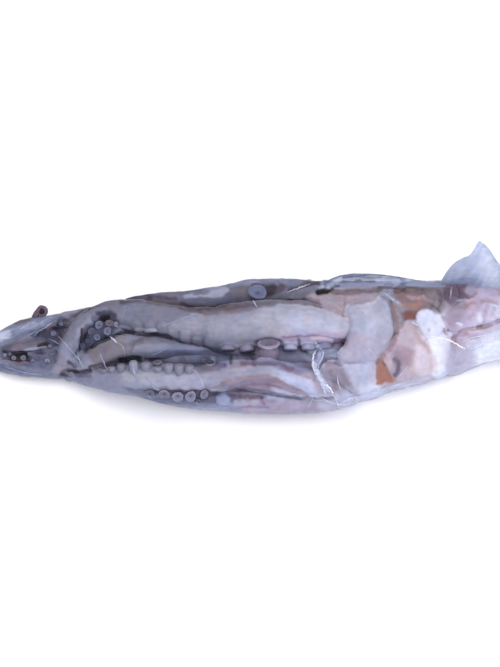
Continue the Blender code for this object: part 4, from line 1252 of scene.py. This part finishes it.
def oneSucker(foot, out, radius, stalk, spin, squash):
    profile = np.array(suckerShape["profile"])
    profile[0, 1] = -stalk
    if stalk > suckerShape["longStalk"]:
        profile[:2, 0] = suckerShape["wideStalk"]
        profile[:2, 2] = suckerShape["stalkDark"]
    side = unit(np.cross(out, (0.31, 0.52, 0.79)))
    across = np.cross(out, side)
    turn = fullTurn(suckerShape["sides"]) + spin
    lobed = 1 + suckerShape["lobes"] * np.sin(3 * turn + spin) + suckerShape["ripples"] * np.sin(7 * turn)
    spokes = side[None] * np.cos(turn)[:, None] * squash
    spokes = spokes + across[None] * np.sin(turn)[:, None] / squash
    spokes *= lobed[:, None]
    rings, heights, dark = profile.T[:, :, None]
    groove = suckerShape["grooveDepth"] * radius * np.cos(suckerShape["grooves"] * turn)[None, :] * dark
    points = foot + rings[..., None] * radius * spokes[None] + (heights * radius)[..., None] * out
    return (points + groove[..., None] * out).reshape(-1, 3), dark[:, 0]


def leaningAxis(lean, roll):  # leaning away from the camera, upward in the picture when roll is 0
    lean, roll = math.radians(lean), math.radians(roll)
    sideways = pictureUp * math.cos(roll) + np.array((1, 0, 0)) * math.sin(roll)
    return toCamera * math.cos(lean) + sideways * math.sin(lean)


def placedSuckers(tree, rng):  # foot, way out, radius, stalk, tone and painted shade of the dish
    for group, spots in suckerSpots.items():
        for pixel, radius, lean, roll, tone in spots:
            foot = underPixel(tree, pixel)
            out = leaningAxis(lean, roll)
            proud = suckerProud.get(group, suckerShape["proud"]) * radius
            yield (foot + toCamera * proud - out * suckerShape["sunk"] * radius, out, radius,
                   suckerStalk.get(group, 1.0), tone, suckerDish.get(group, 1.0))
    for arm, first, last, number, angle, small, large in hiddenRows:
        for i in range(number):
            share = i / (number - 1)
            place = placeAtX(arms[arm], first + (last - first) * share)
            middle, radius, _, up, back = armFrames(arms[arm], np.array([place, place]))
            turn = math.radians(angle + rng.uniform(-4, 4))
            out = up[0] * math.cos(turn) + back[0] * math.sin(turn)
            yield middle[0] + out * radius[0], out, small + (large - small) * share, 1.0, "grey", 1.0


def paintedBlocks(name, blocks, colors, gain):  # one mesh from several painted ones
    mesh = meshOf(name, *joined(blocks))
    writeTone(mesh, np.concatenate(colors), gain)
    return mesh


def makeSuckers(tree):
    rng = np.random.default_rng(11)
    sides = suckerShape["sides"]
    faces = closedFaces(len(suckerShape["profile"]), sides)
    pit = toneOf(suckerShape["pitShadeTone"])
    blocks, colors = [], []
    for foot, out, radius, stalk, tone, dish in placedSuckers(tree, rng):
        squash = 1 + suckerShape["unevenness"] * rng.uniform(-1, 1)
        points, dark = oneSucker(foot, out, radius, stalk, rng.uniform(0, 6), squash)
        points[:, 2] = np.maximum(points[:, 2], armSurface["seat"])
        blocks.append((points, faces))
        rim = toneOf(tone) * rng.uniform(0.95, 1.05)
        colors.append(np.repeat(blended(rim, pit, dish * dark), sides, axis=0))
    return paintedBlocks("suckers", blocks, colors, pigmentGain)


def pegAxes(tree, low, high):  # from the surface under one pixel to just above another
    foot = underPixel(tree, low)
    ray = rayThrough(high)
    top = eye + ray * (((foot - eye) @ toCamera + pegs["lift"]) / (ray @ toCamera))
    side = unit(np.cross(unit(top - foot), toCamera))
    return foot, top - foot, side, np.cross(unit(top - foot), side)


def makePegs(tree):  # a rounded column from foot to top, half sunk in the arm
    rng = np.random.default_rng(12)
    wide, along = np.array(pegs["profile"]).T
    sunk = np.interp(along, pegs["sinkAt"], pegs["sink"])
    shade = np.interp(along, pegs["shadeAt"], pegs["shade"])
    turn = fullTurn(pegs["sides"])
    faces = closedFaces(len(wide), pegs["sides"])
    blocks, colors = [], []
    for low, high, radius, tone in pegs["spots"]:
        foot, out, side, across = pegAxes(tree, low, high)
        ring = side[None] * np.cos(turn)[:, None] + across[None] * np.sin(turn)[:, None]
        points = foot - toCamera * radius * sunk[:, None, None] + along[:, None, None] * out
        points = points + wide[:, None, None] * radius * ring[None]
        blocks.append((points.reshape(-1, 3), faces))
        tint = toneOf(tone) * rng.uniform(0.96, 1.04)
        colors.append(np.repeat(tint * shade[:, None], pegs["sides"], axis=0))
    return paintedBlocks("suckerPegs", blocks, colors, pigmentGain)


bare = fleshTree()
keepFlesh("suckers", makeSuckers(bare), suckerMaterial)
keepFlesh("suckerPegs", makePegs(bare), suckerMaterial)
print("suckers made")

# the curled arm tip that stands up at the back of the taper

curl = {
    "middle": (-210, 41.5, 26), "ring": 3.5, "arm": 2.7, "lean": -60,
    "steps": 56, "sides": 28, "lumpDepth": 0.35, "grainDepth": 0.15, "speckle": 0.3,
    "stem": ((-216, 37, 15, 4.5), (-217, 38, 20, 4.0), (-215, 40, 25, 3.2), (-213, 41.5, 28, 2.6)),
    "plug": ((-2.4, 2.8), (0.4, 2.0)),  # a plug in its eye, dark with painted shade: depth and radius
    "tone": "brown", "holeShadeTone": "ink", "backTone": "plum",
}


def curlRing(lean):  # the rolled tip, and how deep each point is in its eye, which sets its painted shade
    steps, sides = curl["steps"], curl["sides"]
    turn, roll = fullTurn(steps), fullTurn(sides)
    out = (lean @ np.stack([np.cos(turn), 0 * turn, np.sin(turn)])).T
    thick = curl["arm"] * (0.9 + 0.14 * np.cos(turn - 1))
    spokes = out[:, None] * np.cos(roll)[None, :, None] + lean[:, 1] * np.sin(roll)[None, :, None]
    points = np.array(curl["middle"]) + out[:, None] * curl["ring"] + thick[:, None, None] * spokes
    faces = gridFaces(steps, sides)
    first = (steps - 1) * sides
    faces += [(first + j, first + (j + 1) % sides, (j + 1) % sides, j) for j in range(sides)]
    return points.reshape(-1, 3), faces, np.tile(smoothStep(-0.1, -0.85, np.cos(roll)), steps)


def makeCurl():
    sides = curl["sides"]
    lean = np.array(Matrix.Rotation(math.radians(curl["lean"]), 3, "X"))
    ring, ringFaces, innerShade = curlRing(lean)
    stem, rows = sweptPoints(curl["stem"], 1.0, sides)
    plugRoute = [(*(np.array(curl["middle"]) + lean[:, 1] * depth), radius) for depth, radius in curl["plug"]]
    plug, plugRows = sweptPoints(plugRoute, 1.0, sides)
    points, faces = joined([(ring, ringFaces), (stem, closedFaces(rows, sides)),
                            (plug, closedFaces(plugRows, sides))])
    # painted shade: the inside of the roll and the plug in its eye go dark
    dark = np.concatenate([innerShade, np.zeros(len(stem)), np.ones(len(plug))])
    mesh = meshOf("armCurl", points, faces)
    tone = blended(toneOf(curl["tone"]), toneOf(curl["backTone"]), 0.5 + 0.5 * lumps(points, 4, 51))
    writeTone(mesh, blended(tone, toneOf(curl["holeShadeTone"]), dark))
    writeMask(mesh, "speckle", curl["speckle"] * (1 - dark))
    push = curl["lumpDepth"] * lumps(points, 5, 52) + curl["grainDepth"] * lumps(points, 2, 53)
    points += normalsOf(mesh) * push[:, None]
    movePoints(mesh, points)
    keepPiece(addObject("armCurl", mesh, fleshMaterial))


makeCurl()
print("curl made")

# the film: a skin stretched over the flesh, held up where it bridges a gap

film = {
    "left": -277, "right": 314, "stations": 400, "sides": 236,
    "clearance": 0.35,
    "rayFrom": 200.0, "axisShare": 0.4,  # rays run in to this share of the axis's height
    "seen": (-0.6, 0.15), "behindMilk": 0.3,
    "streakyBelow": 0.7, "streakMean": 0.75, "streakSwing": 0.5,  # thin hazes are streaky
    "foldDepth": 0.25, "dentDepth": 0.12, "deepest": 0.2,
    "pull": 0.16, "passes": 160,  # how far suction draws it into the gaps, and how long
    "tailRadius": 4, "tone": "#98a1c2",
}
bagAxis = (  # x, middle y, height
    (-277, -1, 8), (-253, 4, 22), (-223, 8, 31), (-193, 6, 37), (-152, 5, 43), (-101, 2, 52),
    (-51, -1, 60), (0, 1, 65), (51, 2, 66), (102, 8, 63), (153, 18, 57), (193, 21, 56),
    (224, 25, 53), (254, 26, 49), (285, 27, 40), (303, 29, 24), (314, 30, 9),
)
filmFold = ((68, 64, 22, 4), (84, 73, 24, 7), (104, 76, 26, 8.5), (136, 74, 28, 8), (166, 67, 32, 7),
            (194, 60, 34, 7))  # slack film along the back of the web
hazes = {  # where the film looks clouded, some with painted sheen and some with painted shade, marked below: tone, reach, share, route
    # painted shade: the slack fold at the back faces away from the light, so its milky film is painted dark
    # blue-grey in the next two
    "foldRight": ("#7b829d", 3.6, 0.82, ((392, 280), (410, 282), (426, 284), (442, 284))),
    "fold": ("#566080", 5.0, 0.9, ((328, 283), (345, 278), (375, 278), (402, 281))),
    "foldPale": ("#8f97b5", 2.8, 0.5, ((378, 282), (388, 280.5), (398, 281.5))),
    "foldPaleLeft": ("#98a0bc", 2.6, 0.6, ((328, 286), (334, 283), (340, 279.5))),
    "foldEdge": ("#9aa0bb", 1.1, 0.3, ((342, 287), (362, 284.5), (380, 285), (392, 287.5))),
    "backLeft": ("#8d93af", 2.6, 0.5, ((205, 289.5), (230, 283.5), (255, 281), (300, 281))),
    "tipVeil": ("#7a829e", 7.0, 0.72, ((3, 338), (18, 329), (34, 323), (50, 317))),
    # painted highlight: the glossy film at the very tip
    "tipPale": ("#b3bad2", 4.5, 0.7, ((0, 337), (7, 334))),
    "tipVeilLow": ("#7f87a3", 2.2, 0.4, ((10, 340), (22, 336), (34, 332))),
    "tipShine": ("#8b93b0", 2.0, 0.55, ((16, 332.5), (24, 328.5), (34, 323.5))),
    "tipBump": ("#6b6068", 2.3, 0.9, ((15.5, 322.5), (22, 320.5), (29, 319.5))),
    "bottomEdge": ("#8b94b2", 2.5, 0.5, ((0, 366), (30, 374), (60, 378.5), (100, 387), (150, 399),
        (200, 405), (240, 409))),
    "tipBottom": ("#787e9b", 3.6, 0.6, ((2, 364), (25, 371), (50, 374.5))),
    "bendVeil": ("#989ebb", 2.2, 0.4, ((57, 348), (66, 355), (78, 365))),
    "lowerLeftVeil": ("#9298b4", 6.0, 0.35, ((90, 378), (120, 384), (140, 390))),
    "headFold": ("#a9aec6", 1.8, 0.55, ((381, 293), (388, 296), (394, 300))),
    "crumple": ("#8f95b4", 4.2, 0.7, ((320, 349), (320, 355), (317, 362))),
    "rootVeil": ("#989ebc", 4.5, 0.65, ((312, 350), (322, 352), (335, 353))),
    "crumpleFoot": ("#b9bdd8", 4.0, 0.45, ((318, 374), (323, 384), (329, 391))),
    # painted sheen: the film's soft reflection low on the right
    "lowRightSheen": ("#c3c8e2", 4.0, 0.5, ((340, 405), (376, 394), (400, 386), (430, 379))),
    "mantleSheen": ("#dcdff0", 5.0, 0.35, ((470, 345), (490, 338), (503, 332))),
}
creases = {  # thin white folds in the film, whose white is partly the film's own creasing and partly painted highlight: radius, tone, share, route
    "crumpleBody": (3.4, "#9aa1c0", 0.8, ((316, 344), (319.5, 350), (319.5, 357), (316, 364))),
    "crumpleFootBody": (3.0, "#bcc2dd", 0.85, ((314.5, 362), (317, 372), (322, 382), (329, 391))),
    "crumpleTop": (1.3, "#c9cee8", 0.9, ((315, 341.5), (316.5, 345), (318.5, 350))),
    "crumpleNeck": (1.1, "#dfe2f4", 0.9, ((317, 350), (314, 354), (313, 360))),
    "crumpleLeft": (1.4, "#d6daf0", 0.9, ((313, 358), (313, 366), (316, 375))),
    "crumpleMiddle": (1.2, "#e3e6f6", 0.95, ((314.5, 368), (318, 376), (323, 384), (327, 391))),
    "crumpleRight": (0.9, "#c3c8e2", 0.8, ((319, 347), (323.5, 353), (321, 360), (317.5, 366))),
    "crumpleInner": (0.8, "#b9bfdb", 0.8, ((317.5, 362), (319, 370), (323, 378), (328, 385))),
    "crumpleFoot": (1.1, "#e3e6f6", 0.9, ((325, 384), (329.5, 388), (333, 393))),
    "crumpleFootLow": (0.8, "#d3d7ec", 0.85, ((320, 384), (324, 389), (326, 396))),
    "upperRidge": (0.7, "#b4b1cb", 0.6, ((163, 326), (180, 319.5), (198, 313))),
    "bendCrossing": (0.6, "#a0a6c0", 0.5, ((121, 323), (124, 312), (126, 305))),
    "bendCrossingB": (0.6, "#a0a6c0", 0.45, ((126, 312), (131, 306.5), (137, 302))),
    "dash": (0.95, "#c3c5dd", 0.9, ((110, 336.5), (113.5, 339.5), (117, 343))),
    "dashTail": (0.6, "#a9abc4", 0.7, ((117, 342.5), (122, 346), (125, 355))),
    "leftLine": (0.65, "#a3a7c2", 0.7, ((100, 354), (104, 363), (108, 371))),
    "lowerA": (1.3, "#a7aeca", 0.6, ((132, 362), (135, 374), (142, 385))),
    "lowerB": (1.1, "#a5abc8", 0.6, ((147, 377.5), (151, 384), (159, 390.5))),
    "lowerC": (0.6, "#bcb8d0", 0.7, ((192, 369.5), (199, 376), (204.5, 388))),
    "backA": (0.75, "#b5bad4", 0.8, ((287, 292.5), (299, 288), (310, 284))),
    "backB": (0.6, "#b5bad4", 0.75, ((253, 300.5), (257, 307))),
    "headA": (0.6, "#b9bfd8", 0.7, ((381.6, 291.4), (387.6, 295), (395.4, 302.2), (404.4, 305.8))),
    "headB": (0.5, "#b4bad2", 0.6, ((379, 297), (386, 294), (394, 293))),
    # painted highlight: a bright streak along a film crease over the siphon
    "siphonHighlightLine": (0.75, "#f4f5fc", 0.95, ((431, 336.5), (447, 339.5), (457, 344.5), (465, 349))),
    "siphonTop": (0.7, "#e6e9f6", 0.85, ((412, 322), (418, 326))),
    "rustLine": (0.5, "#bdb6cb", 0.5, ((387, 367), (391, 373.5), (396, 381))),
    "eyeFoot": (0.7, "#c9c9e0", 0.75, ((398, 378), (402.5, 372), (407, 366))),
    "footA": (0.65, "#cdd0e6", 0.75, ((338, 405), (349, 399), (362, 395))),
    "footB": (0.65, "#d3d7ec", 0.8, ((331, 393), (336, 399), (339, 407))),
    "footC": (0.6, "#cdd0e6", 0.7, ((322, 398), (330, 402), (338, 404.5))),
    "footD": (0.6, "#cdd0e6", 0.7, ((313, 397), (311, 402), (308, 408))),
    "smear": (0.75, "#c5c3d4", 0.7, ((337, 375), (338, 383), (341, 390))),
    "webLine": (0.5, "#d4d6ea", 0.6, ((366, 346), (372, 352), (379, 357))),
    "ringLip": (0.7, "#b6b3ca", 0.6, ((261, 346), (265, 348), (271, 348.6), (278, 347))),
    "tipLine": (0.5, "#a9afc8", 0.7, ((25, 350), (35, 349), (44, 346))),
    "crossing": (0.7, "#a3a9c4", 0.7, ((58, 336), (68, 347), (84, 367))),
    "crossingB": (0.5, "#9ba1bc", 0.6, ((48, 338), (60, 345), (72, 355), (82, 367))),
    "shortBright": (0.9, "#aab0cc", 0.75, ((77, 354.5), (80, 361), (83.5, 367))),
    "armLine": (0.55, "#9ca0ba", 0.5, ((150, 356), (168, 349), (184, 343))),
    "mantleLine": (0.8, "#a9a0b8", 0.75, ((452, 287), (451, 293), (450, 299))),
    "mantleLeaf": (0.5, "#b5b2c8", 0.6, ((453, 305), (458, 301), (466, 301))),
    "mantleStreak": (0.5, "#e6e8f5", 0.6, ((468, 352), (482, 344), (500, 338))),
    "mantleStreakB": (0.5, "#e6e8f5", 0.6, ((462, 343), (474, 337), (488, 335))),
    # the next six are painted highlights: glossy streaks of film over the arm tip
    "tipA": (0.5, "#a0a7c4", 0.6, ((5, 336), (14, 329.5), (24, 325), (38, 319))),
    "tipB": (0.5, "#9ba2bf", 0.6, ((10, 339), (22, 332), (34, 327), (46, 322))),
    "tipC": (0.5, "#a5acc7", 0.65, ((18, 341), (28, 336), (38, 330))),
    "tipF": (0.9, "#a8b0ce", 0.7, ((20, 329), (26, 325.5), (31, 323.5), (35, 322))),
    "tipG": (0.5, "#a9b1cf", 0.6, ((26, 330), (34, 326.5), (43, 321), (52, 317))),
    "tipI": (0.5, "#aab2d0", 0.7, ((34, 336), (39, 331), (46, 327), (54, 321))),
    "tipE": (0.6, "#9ba2be", 0.7, ((4, 366), (22, 372), (44, 375))),
}


creaseShape = {
    "sides": 8, "ringStep": 0.7, "seat": 0.05, "thinnest": 0.2,
    "wander": 0.26,  # pixels
    "uneven": (0.7, 1.2),
}


def reachGrid(tree, xs, turn):  # distance from the bag's axis to the flesh along each spoke
    stations = [station[0] for station in bagAxis]
    axis = curveAt(bagAxis, np.interp(xs, stations, np.linspace(0, 1, len(bagAxis))))
    middle, height = axis[:, 1], film["axisShare"] * axis[:, 2]
    far = film["rayFrom"]
    reach = np.zeros((len(xs), len(turn)))
    for i, x in enumerate(xs):
        origin = Vector((x, middle[i], height[i]))
        for j, angle in enumerate(turn):
            out = Vector((0, math.cos(angle), math.sin(angle)))
            hit = tree.ray_cast(origin + out * far, -out, far)
            reach[i, j] = far - hit[3] if hit[0] is not None else 0
    return middle, height, reach


def stretchFilm(reach, limit):
    held = reach + film["clearance"]
    skin = held.copy()
    for _ in range(film["passes"]):
        ends = np.vstack([skin[:1], skin, skin[-1:]])
        mean = (ends[:-2] + ends[2:] + np.roll(skin, 1, 1) + np.roll(skin, -1, 1)) / 4
        skin = np.minimum(np.maximum(held, mean - film["pull"]), limit)
    return skin


def cloudFilm(mesh):  # milky where the picture shows haze, and in patches out of its view
    points = pointsOf(mesh)
    spots = inPicture(points) + paint["wander"] * jitter(points, 6, 61)
    seen = smoothStep(*film["seen"], normalsOf(mesh) @ toCamera)
    color = np.tile(plainColor(film["tone"]), (len(points), 1))
    milk = np.zeros(len(points))
    streaks = film["streakMean"] + film["streakSwing"] * np.abs(lumps(points * (0.3, 1.3, 1.3), 5, 63))
    for tone, reach, share, route in hazes.values():
        fall = lineFall(spots, route, reach, paint["hazeSpread"]) * seen
        color = blended(color, plainColor(tone), fall)
        milk = np.maximum(milk, share * fall * (streaks if share < film["streakyBelow"] else 1))
    behind = (1 - seen) * smoothStep(0.2, 0.8, lumps(points * (0.4, 1, 1), 14, 64))
    writeTone(mesh, color)
    writeMask(mesh, "milk", np.clip(np.maximum(milk, film["behindMilk"] * behind), 0, 0.95))


def crumpled(points):  # how far sharp little folds and soft dents move the film
    folds = np.clip(1 - 5 * np.abs(lumps(points * (0.5, 1, 1), 9, 31)), 0, 1)
    push = film["foldDepth"] * folds + film["dentDepth"] * lumps(points, 3, 37)
    return np.maximum(push, -film["deepest"])


def makeFilm():
    fold, rows = sweptPoints(filmFold, 3, 20)
    fleshMeshes.append(meshOf("slackFold", fold, closedFaces(rows, 20)))
    xs = np.linspace(film["left"], film["right"], film["stations"])
    turn = fullTurn(film["sides"])
    middle, height, reach = reachGrid(fleshTree(), xs, turn)
    bpy.data.meshes.remove(fleshMeshes.pop())
    down = np.minimum(np.sin(turn), -1e-3)[None]
    limit = np.where(np.sin(turn)[None] < 0, height[:, None] / -down, 1e9)  # flat on the floor
    fromEnd = np.minimum(xs - film["left"], film["right"] - xs)[:, None]
    skin = stretchFilm(np.maximum(reach, np.minimum(film["tailRadius"], 1.0 + fromEnd)), limit)
    out = np.stack([np.zeros_like(turn), np.cos(turn), np.sin(turn)], 1)
    axis = np.stack([xs, middle, height], 1)
    points = (axis[:, None] + skin[..., None] * out[None]).reshape(-1, 3)
    skin = np.minimum(skin + crumpled(points).reshape(skin.shape), limit)
    points = (axis[:, None] + skin[..., None] * out[None]).reshape(-1, 3)
    mesh = meshOf("bagFilm", points, closedFaces(film["stations"], film["sides"]))
    cloudFilm(mesh)
    keepPiece(addObject("bagFilm", mesh, filmMaterial))
    return treeOf(points, facesOf(mesh))


def creasePath(tree, rng, radius, route):  # where it lies on the film, thin at both ends
    pixels = curveAt(route, np.linspace(0, 1, 7 * len(route)))
    pixels[1:-1] += rng.normal(0, creaseShape["wander"], (len(pixels) - 2, 2))
    path = []
    for pixel, share in zip(pixels, np.linspace(0, 1, len(pixels))):
        spot = underPixel(tree, pixel)
        if spot is not None:
            swell = math.sin(math.pi * np.clip(share, 0.04, 0.96)) ** 0.5
            thick = radius * rng.uniform(*creaseShape["uneven"]) * swell
            path.append((*spot, max(thick, creaseShape["thinnest"])))
    return np.array(path)


def makeCreases(tree):  # fine ridges that lie on the film along their routes
    rng = np.random.default_rng(21)
    blocks, colors, milks = [], [], []
    for radius, tone, share, route in creases.values():
        path = creasePath(tree, rng, radius, route)
        points, rows = sweptPoints(path, creaseShape["ringStep"], creaseShape["sides"])
        points[:, 2] = np.maximum(points[:, 2], creaseShape["seat"])
        blocks.append((points, closedFaces(rows, creaseShape["sides"])))
        colors.append(np.tile(plainColor(tone), (len(points), 1)))
        milks.append(np.full(len(points), share))
    mesh = paintedBlocks("filmCreases", blocks, colors, 1.0)
    writeMask(mesh, "milk", np.concatenate(milks))
    keepPiece(addObject("filmCreases", mesh, filmMaterial))


makeCreases(makeFilm())
print("film drawn over")

# the loose end of the bag

fin = {
    "foot": ((194, 70, 22), (221, 74, 20), (252, 68, 20), (287, 50, 18)),
    "edge": ((193, 74, 28), (200, 80, 42), (208, 85, 50), (216, 88.5, 54.5), (222, 90, 56), (226, 95, 60),
             (230, 100, 65.5), (234, 98.5, 65), (241, 92, 63), (251, 79, 57), (269, 66, 49), (290, 50, 38)),
    "pleats": 4, "pleatDepth": 0.8, "pleatTwist": 0.8, "grainDepth": 0.6,
    "columns": 150, "rows": 80, "thick": 0.4,
    "lightAt": (200, 232, 244), "light": (0.15, 0.25, 0.9),  # painted light, rising along x
    "shadeTone": "#8f9cbc", "tone": "#a9b4d2", "shineTone": "#dbe4f8",
    "share": 0.9, "shareSwing": 0.06, "lightSwing": 0.35, "shade": 0.6,
}


def finSheets(along, up):  # both sides of the pleated sheet, rising from foot to edge
    foot, edge = curveAt(fin["foot"], along), curveAt(fin["edge"], along)
    out = edge - foot
    face = unit(np.cross((1, 0, 0), out))
    sheet = foot[:, None] + out[:, None] * up[None, :, None]
    wave = np.sin(2 * math.pi * fin["pleats"] * along[:, None] + fin["pleatTwist"] * up[None])
    fine = lumps(sheet.reshape(-1, 3) * (1, 0.3, 0.3), 6, 41).reshape(wave.shape)
    push = (fin["pleatDepth"] * wave + fin["grainDepth"] * fine) * up[None]
    layers = [sheet + face[:, None] * (push + side * fin["thick"] / 2)[..., None] for side in (1, -1)]
    return np.concatenate([layer.reshape(-1, 3) for layer in layers])


def finFaces(columns, rows):  # the two sheets, joined round their rim
    count = columns * rows
    faces = gridFaces(columns, rows, False)
    faces += [tuple(v + count for v in face[::-1]) for face in faces]
    rim = [i * rows for i in range(columns)]
    rim += [(columns - 1) * rows + j for j in range(1, rows)]
    rim += [i * rows + rows - 1 for i in range(columns - 2, -1, -1)]
    rim += range(rows - 2, 0, -1)
    return faces + [(a, b, b + count, a + count) for a, b in zip(rim, rim[1:] + rim[:1])]


def makeFin():
    along, up = (np.linspace(0, 1, fin[key]) for key in ("columns", "rows"))
    points = finSheets(along, up)
    mesh = meshOf("bagFin", points, finFaces(fin["columns"], fin["rows"]))
    slant = np.array(((0.9, 0, 0), (0, 0.16, 0), (0, 0.16, 0)))
    streak = lumps(points @ slant + points[:, 2:3] * (-0.5, 0, 0), 4, 42)
    light = np.interp(points[:, 0], fin["lightAt"], fin["light"]) + fin["lightSwing"] * streak
    light = np.clip(light, 0, 1)
    color = blended(plainColor(fin["tone"]), plainColor(fin["shineTone"]), light)
    # painted shade low on the sheet near its foot, on the left part
    low = smoothStep(0.45, 0.1, np.tile(up, 2 * fin["columns"])) * smoothStep(240, 214, points[:, 0])
    writeTone(mesh, blended(color, plainColor(fin["shadeTone"]), fin["shade"] * low))
    writeMask(mesh, "milk", np.clip(fin["share"] + fin["shareSwing"] * streak, 0, 1))
    keepPiece(addObject("bagFin", mesh, filmMaterial))


makeFin()
print("loose bag end made")

sizes = [[list(corner) for corner in box] for box in (cadBox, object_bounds())]
